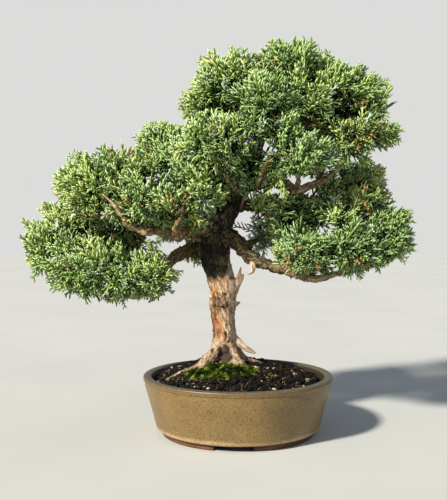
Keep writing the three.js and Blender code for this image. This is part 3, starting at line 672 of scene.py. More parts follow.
def speckle():
    """Scattered spots: a mask that is 1 in a spot."""
    def build(w, given):
        cells = w.node("ShaderNodeTexVoronoi", {"Vector": given["Vector"], "Scale": given["Scale"]})
        inside = w.maths("LESS_THAN", cells.outputs["Distance"], given["Size"])
        chance = w.parts(cells.outputs["Color"])[0]
        chosen = w.maths("LESS_THAN", chance, given["Share"])
        return {"Spots": w.times(inside, chosen)}
    return effect(
        "speckle",
        [("Vector", "NodeSocketVector", None), ("Scale", "NodeSocketFloat", 1.0),
         ("Size", "NodeSocketFloat", 0.3), ("Share", "NodeSocketFloat", 0.5)],
        [("Spots", "NodeSocketFloat")],
        build,
    )


def leaf_bands():
    """The pattern on the shoots: how far along a shoot, its tone, and the scale leaves on it."""
    def build(w, given):
        coordinates = w.parts(given["Map"])
        along = coordinates[0]
        row = w.times(coordinates[1], given["Bands"])
        tone = w.maths("FLOOR", row)
        around = w.maths("SUBTRACT", row, tone)
        scales = w.times(along, given["Scales"])
        turn = w.times(around, 4)
        wave = w.maths("FRACT", w.plus(scales, w.maths("PINGPONG", turn, 1.0)))
        return {"Along": along, "Tone": w.maths("DIVIDE", tone, given["Bands"]), "Scale": wave}
    return effect(
        "leaf bands",
        [("Map", "NodeSocketVector", None), ("Bands", "NodeSocketFloat", float(TONES)),
         ("Scales", "NodeSocketFloat", 9.0)],
        [("Along", "NodeSocketFloat"), ("Tone", "NodeSocketFloat"), ("Scale", "NodeSocketFloat")],
        build,
    )


# ---------------------------------------------------------------- the finishes

def glaze():
    """Speckled ochre glaze that breaks pale on edges and stops above the bare clay foot, with
    painted shade on the inner wall above the soil.
    """
    sizes = bpy.context.scene.bonsai_pot

    def dress(w):
        place, tone = w.mottled(0.035, 0.55)
        x, y, z = w.parts(place)
        ochre = w.ramp(
            tone["Both"], (0.34, (116, 93, 53)), (0.5, rgba(sizes.glaze)), (0.66, (144, 119, 72))
        )
        grit_in_glaze = w.noise(place, 0.75, 2, 0.7)
        grit_tone = w.ramp(grit_in_glaze, (0.36, 0.6), (0.5, 0.9), (0.64, 1.0))
        ochre = w.mix(1.0, ochre, grit_tone, "MULTIPLY")
        for scale, size, share, strength, colour in (
            (0.56, 0.34, 0.5, 0.6, (64, 46, 24)),  # iron
            (1.1, 0.36, 0.5, 0.5, (74, 56, 30)),  # iron dust
            (1.25, 0.3, 0.3, 0.35, (166, 142, 100)),  # pale flecks
        ):
            spots = w.group(
                speckle(), {"Vector": place, "Scale": scale, "Size": size, "Share": share}
            )["Spots"]
            ochre = w.mix(w.times(spots, strength), ochre, colour)
        uneven = w.plus(z, w.times(w.noise(place, 0.03), 9.0))
        worn = w.ramp(tone["Fine"], (0.3, (58, 53, 37)), (0.7, (106, 97, 71)))
        ochre = w.mix(w.between(z, 59.4, 60.3), ochre, worn)
        under_lip = w.times(w.between(z, 57.6, 58.4), w.between(z, 60.0, 59.2))
        ochre = w.mix(w.times(under_lip, 0.7), ochre, (92, 60, 32))
        # Painted shade: the inner wall above the soil is darkened nearly to black.
        level = w.node("ShaderNodeCombineXYZ", {0: x, 1: y}).outputs[0]
        out = w.node("ShaderNodeVectorMath", {0: level}, operation="LENGTH").outputs["Value"]
        heights = w.times(w.between(z, 60.4, 59.2), w.between(z, 34.0, 36.0))
        inner_wall_shade = w.times(w.between(out, 92.6, 91.8), heights)
        ochre = w.mix(w.times(inner_wall_shade, 0.92), ochre, (36, 28, 19))
        pale_band = w.ramp(tone["Fine"], (0.35, (138, 114, 78)), (0.65, (180, 154, 112)))
        ochre = w.mix(w.between(uneven, 16.6, 12.4), ochre, pale_band)
        bare = w.between(w.plus(z, w.times(w.noise(place, 0.1), 2.0)), 7.6, 6.9)
        clay = w.ramp(
            tone["Both"], (0.35, (74, 42, 24)), (0.5, rgba(sizes.clay)), (0.68, (122, 82, 52))
        )
        colour = w.mix(bare, ochre, clay)
        rough = w.plus(w.times(tone["Fine"], 0.22), 0.3)
        rough = w.plus(rough, w.times(bare, 0.35), clamp=True)
        grain = w.plus(w.noise(place, 0.5, 2), w.times(w.noise(place, 2.2, 2), 0.35))
        return look(colour, rough, w.bump(grain, 0.35, 0.0005), 0.45)
    return finish("speckled glaze", dress)


def mottled_finish(name, scales, tones, rough, relief):
    """A plain finish in uneven tones; relief is a pattern, how strong it is and how deep."""
    def dress(w):
        _, tone = w.mottled(*scales)
        pattern, strength, depth = relief
        return look(
            w.ramp(tone["Both"], *tones), w.ramp(tone["Fine"], (0.3, rough[0]), (0.7, rough[1])),
            w.bump(tone[pattern], strength, depth),
        )
    return finish(name, dress)


def netting():
    """Dark plastic net."""
    tones = (0.3, (22, 25, 27)), (0.7, (48, 52, 54))
    return mottled_finish("drain netting", (0.2, 1.6), tones, (0.42, 0.68), ("Fine", 0.3, 0.0002))


def dark_soil():
    """Damp soil between and under the grains."""
    middle = rgba(bpy.context.scene.bonsai_soil.colour)
    tones = (0.3, (7, 6, 4)), (0.5, middle), (0.72, (34, 27, 19))
    return mottled_finish("dark soil", (0.12, 0.7), tones, (0.8, 0.98), ("Both", 0.8, 0.0015))


def moss_bed():
    """The dark cushion under the tufts: partly the moss's own dark tone, partly painted shade among
    the tufts.
    """
    tones = (0.3, (5, 7, 2)), (0.5, (14, 18, 4)), (0.7, (26, 31, 7))
    return mottled_finish("moss bed", (0.15, 0.9), tones, (0.8, 0.98), ("Fine", 0.8, 0.001))


def grit():
    """Grains of bark, lava, clay and pumice: the map's bands give each grain its kind."""
    def dress(w):
        pattern, bands = w.banded_map(3.0)
        kind = w.ramp(
            bands["Tone"], (0.0, (6, 6, 4)), (0.2, (12, 10, 7)),
            (0.36, (22, 18, 10)), (0.5, (44, 27, 17)), (0.62, (30, 25, 16)),
            (0.76, (76, 60, 40)), (0.92, (180, 166, 140)),
        )
        crumbs = w.noise(pattern, 26, 3, 0.7)
        colour = w.mix(1.0, kind, w.ramp(crumbs, (0.32, 0.45), (0.6, 1.0)), "MULTIPLY")
        rough = w.ramp(crumbs, (0.3, 0.78), (0.7, 0.98))
        return look(colour, rough, w.bump(crumbs, 0.5, 0.0004), 0.2)
    return finish("grit", dress)


def moss_green():
    """Moss blades: nearly black at the foot and green to yellow green at the tip; the dark foot is
    partly painted shade among the blades.
    """
    def dress(w):
        pattern, bands = w.banded_map(4.0)
        low = w.ramp(bands["Tone"], (0.0, (4, 5, 2)), (0.9, (26, 34, 6)))
        high = w.ramp(
            bands["Tone"], (0.0, (10, 15, 4)), (0.3, rgba(bpy.context.scene.bonsai_moss.colour)),
            (0.55, (74, 90, 22)), (0.85, (148, 160, 56)),
        )
        # Darker towards the foot: partly the moss's own tone, partly painted shade among the
        # blades.
        colour = w.mix(w.ramp(bands["Along"], (0.15, 0.0), (0.85, 1.0)), low, high)
        rough = w.ramp(bands["Scale"], (0.0, 0.7), (1.0, 0.9))
        return look(colour, rough, w.bump(bands["Scale"], 0.3, 0.0002), 0.05)
    return finish("moss tufts", dress)


def juniper_wood():
    """Peeled cinnamon trunk, dark fibrous bark, bleached deadwood and stained hollows; painted
    shade in the hollows, the furrows and under the crown, and painted light on the outer limbs.
    """
    sizes = bpy.context.scene.bonsai_wood

    def dress(w):
        grain = w.attribute("grain", "Vector")
        place = w.drawn_place()
        fibres = w.noise(grain, 0.55, 5, 0.62, 0.4)
        strands = w.noise(grain, 1.9, 3, 0.6)
        broad = w.noise(grain, 0.14, 3, 0.5, 0.6)
        ridge = w.attribute("ridge")
        peeled = w.ramp(
            fibres, (0.32, (92, 58, 34)), (0.43, rgba(sizes.peeled)),
            (0.55, (184, 132, 84)), (0.68, (212, 178, 134)),
        )
        cream = w.ramp(
            fibres, (0.32, (96, 78, 54)), (0.46, (176, 154, 120)), (0.62, (224, 208, 178)),
        )
        peeled = w.mix(w.ramp(broad, (0.42, 0.0), (0.58, 1.0)), peeled, cream)
        peeled = w.mix(w.ramp(strands, (0.36, 0.8), (0.48, 0.0)), peeled, (66, 42, 25))
        grime = w.ramp(w.noise(place, 0.14, 5, 0.7), (0.5, 0.0), (0.6, 0.7))
        peeled = w.mix(grime, peeled, w.ramp(fibres, (0.35, (36, 28, 18)), (0.65, (104, 86, 62))))
        crusts = w.noise(place, 0.42, 5, 0.75)
        # Darker bark in the furrows of the relief: painted shade, over the bark's own uneven tone
        # and crusts.
        uneven = w.plus(w.times(ridge, 0.3), w.times(fibres, 0.25))
        bark = w.ramp(
            w.plus(uneven, w.times(crusts, 0.6)),
            (0.5, (3, 3, 2)), (0.57, rgba(sizes.bark)), (0.64, (66, 54, 32)),
            (0.73, (160, 142, 94)),
        )
        rust = w.ramp(w.noise(place, 0.05, 3), (0.5, 0.0), (0.6, 0.75))
        bark = w.mix(rust, bark, w.ramp(crusts, (0.44, (18, 10, 5)), (0.68, (128, 76, 40))))
        green = w.ramp(w.noise(place, 0.09, 3), (0.48, 0.0), (0.6, 0.6))
        bark = w.mix(green, bark, w.ramp(crusts, (0.44, (10, 10, 6)), (0.66, (96, 90, 56))))
        dead = w.ramp(
            fibres, (0.34, (96, 78, 60)), (0.5, rgba(sizes.deadwood)), (0.66, (208, 188, 164)),
        )
        dead = w.mix(w.ramp(strands, (0.34, 0.65), (0.46, 0.0)), dead, (60, 45, 33))
        low = w.between(w.plus(w.parts(place)[2], w.times(broad, 30)), 105, 85)
        soiled = w.times(low, w.ramp(w.noise(place, 0.22, 4, 0.7), (0.4, 0.0), (0.58, 0.85)))
        dead = w.mix(soiled, dead, w.ramp(fibres, (0.35, (30, 21, 14)), (0.65, (98, 76, 54))))
        colour = w.mix(w.attribute("pale"), peeled, dead)
        colour = w.mix(w.attribute("bark"), colour, bark)
        # Painted shade in the furrows of the relief.
        furrow_shade = w.ramp(ridge, (0.0, 0.9), (0.4, 0.0))
        colour = w.mix(furrow_shade, colour, (34, 24, 16))
        # Painted shade: the upper trunk and the limbs near it darken where the crown would shade
        # them, lighter in patches.
        shaded = w.attribute("dark")
        patches = w.ramp(w.noise(place, 0.13, 4, 0.7), (0.44, 0.97), (0.6, 0.66))
        colour = w.mix(w.times(shaded, patches), colour, (10, 9, 6))
        # The hollows take a dark stain with painted shade.
        hollow_shade_and_stain = w.ramp(strands, (0.35, (14, 9, 6)), (0.65, (44, 30, 20)))
        colour = w.mix(w.attribute("hollow"), colour, hollow_shade_and_stain)
        rough = w.ramp(strands, (0.3, 0.7), (0.7, 0.92))
        return look(colour, rough, w.bump(w.plus(fibres, w.times(strands, 0.5)), 0.55, 0.0008), 0.3)
    return finish("juniper wood", dress)


def twig_bark():
    """Thin brown bark of twigs and rootlets, streaked along them."""
    def dress(w):
        pattern, bands = w.banded_map(5.0)
        colour = w.ramp(
            bands["Tone"], (0.0, (52, 36, 22)), (0.4, (96, 68, 42)),
            (0.7, (138, 102, 64)), (0.95, (176, 148, 108)),
        )
        streaks = w.noise(pattern, 40, 2, 0.6)
        colour = w.mix(1.0, colour, w.ramp(streaks, (0.35, 0.6), (0.6, 1.0)), "MULTIPLY")
        rough = w.ramp(streaks, (0.3, 0.75), (0.7, 0.92))
        return look(colour, rough, w.bump(streaks, 0.4, 0.0003))
    return finish("twig bark", dress)


def juniper_leaf():
    """Scale leaves: dark and dull at a shoot's base, bright and yellowish at its tip; the dark base
    is partly painted shade, the pale tip young growth with a painted highlight.
    """
    sizes = bpy.context.scene.bonsai_foliage

    def dress(w):
        pattern, bands = w.banded_map(8.0)
        tone, along = bands["Tone"], bands["Along"]
        # Stops run from deep green to yellow green, then dry at 0.84 and pale bluish at 0.91. The
        # bluish stops are made bright to paint light onto the shaded back clumps, where most of
        # them lie.
        base = w.ramp(
            tone, (0.0, (18, 37, 12)), (0.4, rgba(sizes.shade)), (0.79, (62, 78, 12)),
            (0.84, (72, 48, 28)), (0.91, (94, 116, 96)),
        )
        middle = w.ramp(
            tone, (0.0, (86, 113, 54)), (0.4, rgba(sizes.leaf)), (0.79, (170, 183, 72)),
            (0.84, (128, 92, 52)), (0.91, (158, 182, 146)),
        )
        tip = w.ramp(
            tone, (0.0, (154, 183, 124)), (0.4, rgba(sizes.tip)), (0.79, (213, 222, 160)),
            (0.84, (176, 138, 84)), (0.91, (206, 222, 194)),
        )
        colour = w.mix(w.between(along, 0.12, 0.5), base, middle)
        colour = w.mix(w.between(along, 0.56, 0.9), colour, tip)
        colour = w.mix(w.ramp(bands["Scale"], (0.0, 0.35), (0.3, 0.0)), colour, base)
        rough = w.ramp(bands["Scale"], (0.0, 0.58), (1.0, 0.44))
        return look(colour, rough, w.bump(bands["Scale"], 0.35, 0.0003))
    return finish("juniper scale leaves", dress)


def pale_floor():
    """A plain, slightly cloudy floor."""
    def dress(w):
        place = w.drawn_place()
        cloudy = w.noise(place, 0.004, 3)
        light = rgba(bpy.context.scene.bonsai_stage.floor_colour)
        dim = tuple(channel * 0.95 for channel in light[:3]) + (1.0,)
        return {
            "Base Color": w.mix(w.ramp(cloudy, (0.35, 0.0), (0.65, 1.0)), dim, light),
            "Roughness": w.ramp(cloudy, (0.3, 0.8), (0.7, 0.9)),
        }
    return finish("pale floor", dress)


# ---------------------------------------------------------------- patterns on small repeats

def lay_map(bm, places, tone):
    """Map a swept shape: u along it, and v round it inside the band of its tone."""
    layer = bm.loops.layers.uv.get("OFBake") or bm.loops.layers.uv.new("OFBake")
    for face in bm.faces:
        if not all(vert in places for vert in face.verts):
            continue
        spots = [places[loop.vert] for loop in face.loops]
        turns = [spot[1] for spot in spots if spot[1] is not None]
        cap = len({spot[0] for spot in spots}) == 1
        wraps = max(turns) - min(turns) > 0.5
        for i, (loop, (along, around)) in enumerate(zip(face.loops, spots)):
            if cap:
                along, around = along + 0.04 * (i % 2), i / (len(spots) - 1)
            elif around is None:
                around = (sum(turns) / len(turns)) if not wraps else 0.9
            elif wraps and around < 0.3:
                around += 1
            loop[layer].uv = (0.02 + 0.95 * along, (tone + 0.05 + 0.9 * around) / TONES)


def swept_places(rings):
    """For each vertex of a swept shape: how far along it is, and how far round."""
    last = len(rings) - 1
    places = {}
    for i, ring in enumerate(rings):
        for k, vert in enumerate(ring):
            places[vert] = (i / last, k / len(ring) if len(ring) > 1 else None)
    return places


def in_tone(template, tone):
    """A copy of a template mesh with its map in another tone's band."""
    copy = template.copy()
    for corner in copy.uv_layers["OFBake"].data:
        corner.uv.y += tone / TONES
    return copy


def crumb_template(seed, stretch):
    """An angular grain."""
    chance = random.Random(seed)
    bm = bmesh.new()
    bmesh.ops.create_icosphere(bm, subdivisions=1, radius=1)
    for vert in bm.verts:
        vert.co *= chance.uniform(0.72, 1.18)
        vert.co.x *= stretch
    layer = bm.loops.layers.uv.new("OFBake")
    for face in bm.faces:
        u, v = chance.uniform(0.05, 0.8), chance.uniform(0.1, 0.6)
        for loop, (right, up) in zip(face.loops, ((0, 0), (0.15, 0), (0, 0.3))):
            loop[layer].uv = (u + right, (v + up) / TONES)
    mesh = mesh_of(bm, f"crumb_{seed}")
    mesh.shade_flat()
    return mesh


# ---------------------------------------------------------------- settings

class BonsaiPotSettings(PropertyGroup):
    rim_radius: FloatProperty(
        name="Rim radius", description="Outside radius of the pot's lip", unit="LENGTH",
        default=(POT_HIGH.x - POT_LOW.x) / 2,
    )
    height: FloatProperty(
        name="Height", description="From the feet to the lip", unit="LENGTH",
        default=POT_HIGH.z - POT_LOW.z,
    )
    wall: FloatProperty(
        name="Lip width", description="Width of the flat lip", unit="LENGTH", default=0.0085,
    )
    foot_height: FloatProperty(
        name="Foot height", description="Height of the three feet", unit="LENGTH", default=0.005,
    )
    glaze: FloatVectorProperty(
        name="Glaze", description="Middle tone of the glaze", subtype="COLOR",
        default=shade(130, 106, 62)[:3], min=0, max=1,
    )
    clay: FloatVectorProperty(
        name="Clay", description="Middle tone of the bare clay", subtype="COLOR",
        default=shade(92, 58, 33)[:3], min=0, max=1,
    )


class BonsaiSoilSettings(PropertyGroup):
    grains: IntProperty(
        name="Grains", description="Number of loose grains", default=5200, min=0,
    )
    grain_size: FloatProperty(
        name="Grain size", description="Mean half width of a grain", unit="LENGTH", default=0.0015,
    )
    colour: FloatVectorProperty(
        name="Soil", description="Middle tone of the soil", subtype="COLOR",
        default=shade(17, 14, 10)[:3], min=0, max=1,
    )


class BonsaiMossSettings(PropertyGroup):
    tufts: IntProperty(name="Tufts", description="Number of moss tufts", default=4900, min=0)
    tuft_height: FloatProperty(
        name="Tuft height", description="Mean height of a tuft", unit="LENGTH", default=0.0022,
    )
    colour: FloatVectorProperty(
        name="Moss", description="Middle tone of the moss tips", subtype="COLOR",
        default=shade(34, 48, 9)[:3], min=0, max=1,
    )


class BonsaiWoodSettings(PropertyGroup):
    bark_depth: FloatProperty(
        name="Bark depth", description="Depth of the furrows in the bark", unit="LENGTH",
        default=0.0014,
    )
    trunk_detail: FloatProperty(
        name="Trunk detail", description="Size of the trunk's mesh", unit="LENGTH", default=0.00085,
    )
    limb_detail: FloatProperty(
        name="Limb detail", description="Size of the limbs' mesh", unit="LENGTH", default=0.00105,
    )
    peeled: FloatVectorProperty(
        name="Peeled trunk", description="Cinnamon tone of the cleaned trunk", subtype="COLOR",
        default=shade(150, 98, 60)[:3], min=0, max=1,
    )
    bark: FloatVectorProperty(
        name="Bark", description="Tone of the old bark", subtype="COLOR",
        default=shade(24, 20, 13)[:3], min=0, max=1,
    )
    deadwood: FloatVectorProperty(
        name="Deadwood", description="Tone of bleached wood and roots", subtype="COLOR",
        default=shade(186, 160, 130)[:3], min=0, max=1,
    )


class BonsaiFoliageSettings(PropertyGroup):
    tufts: IntProperty(name="Tufts", description="Tufts on a clump of mean size", default=54, min=1)
    sprays: IntProperty(name="Sprays", description="Sprays in a tuft", default=8, min=1)
    heart_sprays: IntProperty(
        name="Heart sprays", description="Shaded sprays inside a clump of mean size", default=50,
        min=0,
    )
    spray_length: FloatProperty(
        name="Spray length", description="Length of a spray's main shoot", unit="LENGTH",
        default=0.027,
    )
    shoot_width: FloatProperty(
        name="Shoot width", description="Width of a shoot", unit="LENGTH", default=0.002,
    )
    # The base tone is partly painted shade.
    shade: FloatVectorProperty(
        name="Shoot base", description="Tone at the base of the shoots", subtype="COLOR",
        default=shade(37, 61, 13)[:3], min=0, max=1,
    )
    leaf: FloatVectorProperty(
        name="Leaf", description="Tone in the middle of the shoots", subtype="COLOR",
        default=shade(135, 163, 64)[:3], min=0, max=1,
    )
    # The tip tone is partly a painted highlight.
    tip: FloatVectorProperty(
        name="Tip", description="Tone of the young tips", subtype="COLOR",
        default=shade(177, 204, 138)[:3], min=0, max=1,
    )


class BonsaiStageSettings(PropertyGroup):
    floor_radius: FloatProperty(
        name="Floor radius", description="Radius of the floor", unit="LENGTH", default=6.0,
    )
    floor_colour: FloatVectorProperty(
        name="Floor", description="Tone of the floor", subtype="COLOR",
        default=shade(186, 187, 182)[:3], min=0, max=1,
    )
    key_strength: FloatProperty(
        name="Key light", description="Strength of the warm light from the upper left", default=7.0,
    )
    fill_strength: FloatProperty(
        name="Fill light", description="Strength of the cool light from the right", default=0.3,
    )


# ---------------------------------------------------------------- pot and soil

class BONSAI_OT_pot(Operator):
    """Turn the stoneware pot and set its three feet under it"""

    bl_idname = "bonsai.pot"
    bl_label = "Pot"

    def execute(self, context):
        sizes = context.scene.bonsai_pot
        rim, top, foot = mm(sizes.rim_radius), mm(sizes.height), mm(sizes.foot_height)
        inner = rim - mm(sizes.wall)
        outline = [
            (10, foot), (40, foot), (72, foot), (79, foot), (rim - 16, foot + 0.8),
            (rim - 13.6, foot + 2.5), (rim - 13, foot + 5), (rim - 10.4, 20), (rim - 7.7, 30),
            (rim - 4.8, 40), (rim - 1.7, top - 10), (rim - 1.6, top - 5.5), (rim, top - 4.1),
            (rim, top), (inner, top), (inner - 2.6, 52), (inner - 6, 40), (inner - 9, 28),
            (bore_radius(foot + 8), foot + 8), (40, foot + 8), (10, foot + 8),
        ]
        bm = bmesh.new()
        turned(bm, outline, 160, closed=True)
        for height, radius, offset, segments in (
            (top, rim, 1.7, 5), (top, inner, 1.9, 5),  # lip
            (top - 4.1, rim, 0.7, 3), (top - 5.5, rim - 1.6, 1.2, 3),  # groove under the lip
            (foot + 0.8, rim - 16, 1.0, 3), (foot + 5, rim - 13, 1.4, 3),  # inset over the foot
            (foot + 8, bore_radius(foot + 8), 2.5, 4),  # inner corner
            (foot, 10, 1.0, 3), (foot + 8, 10, 1.0, 3),  # drain hole
        ):
            soften(bm, self.ring_at(height, radius), offset, segments)
        for vert in bm.verts:
            spot = vert.co
            if 12 < spot.z < 52:
                wave = noise.noise(Vector((spot.x, spot.y, spot.z * 2.2)) * 0.02)
                thrown = 0.10 * math.sin(spot.z * 0.9 + 2 * wave) + 0.25 * wave
                out = Vector((spot.x, spot.y, 0)).normalized()
                spot += out * thrown * ease(12, 18, spot.z) * ease(52, 46, spot.z)
        self.add_feet(bm, foot)
        bmesh.ops.recalc_face_normals(bm, faces=bm.faces)
        piece("stoneware_pot", bm, glaze(), "glazed_stoneware", "pot")
        return {"FINISHED"}

    @staticmethod
    def ring_at(height, radius):
        """Picks the edges that lie on one ring of the pot."""
        def wanted(edge):
            return all(
                abs(v.co.z - height) < 0.05 and abs(math.hypot(v.co.x, v.co.y) - radius) < 0.2
                for v in edge.verts
            )
        return wanted

    @staticmethod
    def add_feet(bm, foot):
        """Three arcs of foot with even cuts between them."""
        def outer(edge):
            return edge.calc_face_angle(0) > 0.6 and min(v.co.z for v in edge.verts) < foot

        half_cut = math.asin(FOOT_CUT / 2 / FOOT_MIDDLE)
        outline = [(72, foot + 0.4), (72.8, 0), (80.2, 0), (81, foot + 0.4)]
        for i in range(3):
            start = math.radians(-94 + 120 * i) + half_cut  # the first cut faces the viewer
            part = bmesh.new()
            verts = [part.verts.new((radius, 0, height)) for radius, height in outline]
            bmesh.ops.spin(
                part, geom=[part.faces.new(verts)], cent=(0, 0, 0), axis=(0, 0, 1),
                angle=math.radians(120) - 2 * half_cut, steps=36,
            )
            bmesh.ops.recalc_face_normals(part, faces=part.faces)
            soften(part, outer, 0.9, 3)
            bmesh.ops.rotate(
                part, verts=part.verts, cent=(0, 0, 0), matrix=Matrix.Rotation(start, 3, "Z")
            )
            merge(bm, part)


class BONSAI_OT_drain_screen(Operator):
    """Give the netting over the drain hole its plastic finish"""

    bl_idname = "bonsai.drain_screen"
    bl_label = "Drain screen"

    def execute(self, context):
        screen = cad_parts["drain_screen"]
        screen.data.materials.clear()
        screen.data.materials.append(netting())
        return {"FINISHED"}


class BONSAI_OT_soil(Operator):
    """Heap the soil in the pot"""

    bl_idname = "bonsai.soil"
    bl_label = "Soil"

    def execute(self, context):
        floor, steps = SOIL_FLOOR, 44
        outline = [
            (0, floor + 1.5), (21.6, floor + 1.5), (21.9, floor), (50, floor),
            (bore_radius(floor) - 3.3, floor),
        ]
        outline += [(bore_radius(z) - 0.3, z) for z in (floor + 3, 26, 38)]
        outline += [(SOIL_EDGE * step / steps, SOIL_LEVEL) for step in range(steps, -1, -1)]
        bm = bmesh.new()
        turned(bm, outline, 150)
        for vert in bm.verts:
            x, y, z = vert.co
            if z < SOIL_LEVEL - 0.1:
                continue
            inward = ease(0, 6, SOIL_EDGE - math.hypot(x, y))
            rough = noise.fractal(Vector((x, y, 3)) * 0.3, 0.8, 2.1, 3)
            vert.co.z = soil_surface(x, y) - 0.6 * inward + 1.1 * rough * inward
        piece("soil_mound", bm, dark_soil(), "soil", "soil")
        return {"FINISHED"}


class BONSAI_OT_grit(Operator):
    """Strew grains, bark crumbs and fallen bits over the soil"""

    bl_idname = "bonsai.grit"
    bl_label = "Grit"

    def execute(self, context):
        sizes = context.scene.bonsai_soil
        chance = random.Random(41)
        templates = {
            (shape, tone): in_tone(crumb, tone)
            for shape, crumb in enumerate(crumb_template(*shape) for shape in GRAIN_SHAPES)
            for tone in range(TONES)
        }
        # Tones of the grains: the darker, the more of them.
        kinds = [0, 0, 0, 1, 1, 1, 2, 2, 2, 3, 3, 4, 4, 5, 5, 6, 7, 8, 9, 10, 11]
        bm = bmesh.new()
        edge = bore_radius(SOIL_LEVEL) - 2.2
        for i in range(sizes.grains):
            radius, turn = edge * math.sqrt((i + 0.5) / sizes.grains), i * GOLDEN_TURN
            x = radius * math.cos(turn) + chance.uniform(-1, 1)
            y = radius * math.sin(turn) + chance.uniform(-1, 1)
            under_trunk = math.hypot((x + 10) / 17, (y - 5) / 16) < 1
            if math.hypot(x, y) > edge or under_trunk:
                continue
            tone = chance.choice(kinds)
            size = mm(sizes.grain_size) * chance.choice((0.35, 0.45, 0.6, 0.8, 1.0, 1.3, 1.9))
            if tone >= 7:  # the pale grains are the smaller ones
                size *= 0.75
            place = (
                Matrix.Translation((x, y, soil_surface(x, y) + 0.35 * size))
                @ tumbled(chance, 0.8)
                @ Matrix.Diagonal((size, size * chance.uniform(0.7, 1), size * 0.8, 1))
            )
            repeat(bm, templates[chance.randrange(len(GRAIN_SHAPES)), tone], place)
        piece("loose_grit", bm, grit(), "soil")
        self.rootlets(chance, edge - 6)
        return {"FINISHED"}

    def rootlets(self, chance, edge):
        """Fine roots and fallen twigs that lie on the soil."""
        bm = bmesh.new()
        places = {}
        for _ in range(70):
            radius = edge * math.sqrt(chance.uniform(0.12, 1))
            turn = chance.uniform(0, FULL_TURN)
            x, y = radius * math.cos(turn), radius * math.sin(turn)
            heading = chance.uniform(0, FULL_TURN)
            step, girth = chance.uniform(1.6, 4.4), chance.uniform(0.3, 0.62)
            path = []
            for _ in range(5):
                height = soil_surface(x, y) + girth + chance.uniform(0.2, 1.2)
                path.append((Vector((x, y, height)), girth))
                heading += chance.uniform(-0.5, 0.5)
                x, y = x + step * math.cos(heading), y + step * math.sin(heading)
                if math.hypot(x, y) > edge + 2:
                    break
            if len(path) > 2:
                rings = sweep(bm, frames_along(path, (0.2, 0.1, 1)), 4, tip=girth)
                mapped = swept_places(rings)
                places.update(mapped)
                for _ in mapped:  # draws that keep the next rootlets where they are
                    chance.randrange(3, 11)
        bmesh.ops.recalc_face_normals(bm, faces=bm.faces)
        lay_map(bm, places, 6)
        piece("rootlets", bm, twig_bark(), "soil")


class BONSAI_OT_moss(Operator):
    """Lay the moss cushion and grow its tufts"""

    bl_idname = "bonsai.moss"
    bl_label = "Moss"

    def execute(self, context):
        bed = MOSS_BED
        bm = bmesh.new()
        bmesh.ops.create_icosphere(bm, subdivisions=5, radius=1)
        for vert in bm.verts:
            u, v, up = vert.co
            turn = math.atan2(v, u)
            wave = 1 + 0.07 * math.sin(3 * turn + 1) + 0.05 * math.sin(5 * turn)
            x = bed["x"] + u * bed["radius_x"] * wave
            y = bed["y"] + v * bed["radius_y"] * wave
            lumps = noise.fractal(Vector((x, y, 9)) * 0.13, 0.9, 2.1, 3)
            rise = up * (bed["height"] + 4.2 * lumps) if up > 0 else up * 2.5
            vert.co = (x, y, soil_height(x, y) + rise)
        cushion = BVHTree.FromBMesh(bm)
        piece("moss_cushion", bm, moss_bed(), "moss", "moss")
        self.grow_tufts(cushion, context.scene.bonsai_moss)
        return {"FINISHED"}

    @staticmethod
    def tuft(shape):
        """A small tuft: one upright blade and three that lean away from it."""
        bm = bmesh.new()
        places = {}
        for k in range(4):
            lean = 0.75 if k else 0.0
            turn = k * 2.1 + shape
            way = Vector((lean * math.cos(turn), lean * math.sin(turn), 1)).normalized()
            path = [(Vector((0, 0, -0.3)), 0.16), (way * 0.55, 0.2)]
            places.update(swept_places(sweep(bm, frames_along(path, (1, 0.3, 0)), 3, tip=0.5)))
        bmesh.ops.recalc_face_normals(bm, faces=bm.faces)
        lay_map(bm, places, 0)
        return mesh_of(bm, f"tuft_{shape}")

    def grow_tufts(self, cushion, sizes):
        """Tufts on the cushion, and in thin patches on the soil."""
        chance = random.Random(77)
        templates = {
            (shape, tone): in_tone(tuft, tone)
            for shape, tuft in enumerate(self.tuft(shape) for shape in range(TUFT_SHAPES))
            for tone in range(TONES)
        }
        bm = bmesh.new()
        for middle_x, middle_y, reach_x, reach_y, share in MOSS_PATCHES:
            for _ in range(int(sizes.tufts * share)):
                out, turn = math.sqrt(chance.random()), chance.uniform(0, FULL_TURN)
                x = middle_x + reach_x * out * math.cos(turn)
                y = middle_y + reach_y * out * math.sin(turn)
                hit = cushion.ray_cast(Vector((x, y, 120)), Vector((0, 0, -1)))[0]
                z = soil_surface(x, y)
                if hit and hit.z > z - 0.5:
                    z = hit.z
                thick = noise.noise(Vector((x, y, 0)) * 0.14)
                thick += 0.5 * noise.noise(Vector((x, y, 5)) * 0.4)
                if thick < -0.5:
                    continue
                size = mm(sizes.tuft_height) * chance.uniform(0.45, 1.1) * (1 + 0.6 * thick)
                tone = min(max(int(3.6 + 8 * thick + chance.uniform(-3, 3)), 0), TONES - 1)
                place = (
                    Matrix.Translation((x, y, z)) @ tumbled(chance, 0.4) @ Matrix.Scale(size, 4)
                )
                repeat(bm, templates[chance.randrange(TUFT_SHAPES), tone], place)
        piece("moss_tufts", bm, moss_green(), "moss")


# ---------------------------------------------------------------- wood

def limb_twig(name):
    """The twig that carries a clump: it leaves its limb and turns up into the clump."""
    centre, reach, feeder, share = CLUMPS[name]
    path = path_through(LIMBS[feeder], 2)
    start, girth = path[int(share * (len(path) - 1))]
    end = Vector(centre) - Vector((0, 0, 0.1 * reach[2]))
    half = start.lerp(end, 0.5)
    half.z -= 0.12 * (end - start).length
    return [[*start, max(girth * 0.7, 1.8)], [*half, max(girth * 0.5, 1.5)], [*end, 1.3]]


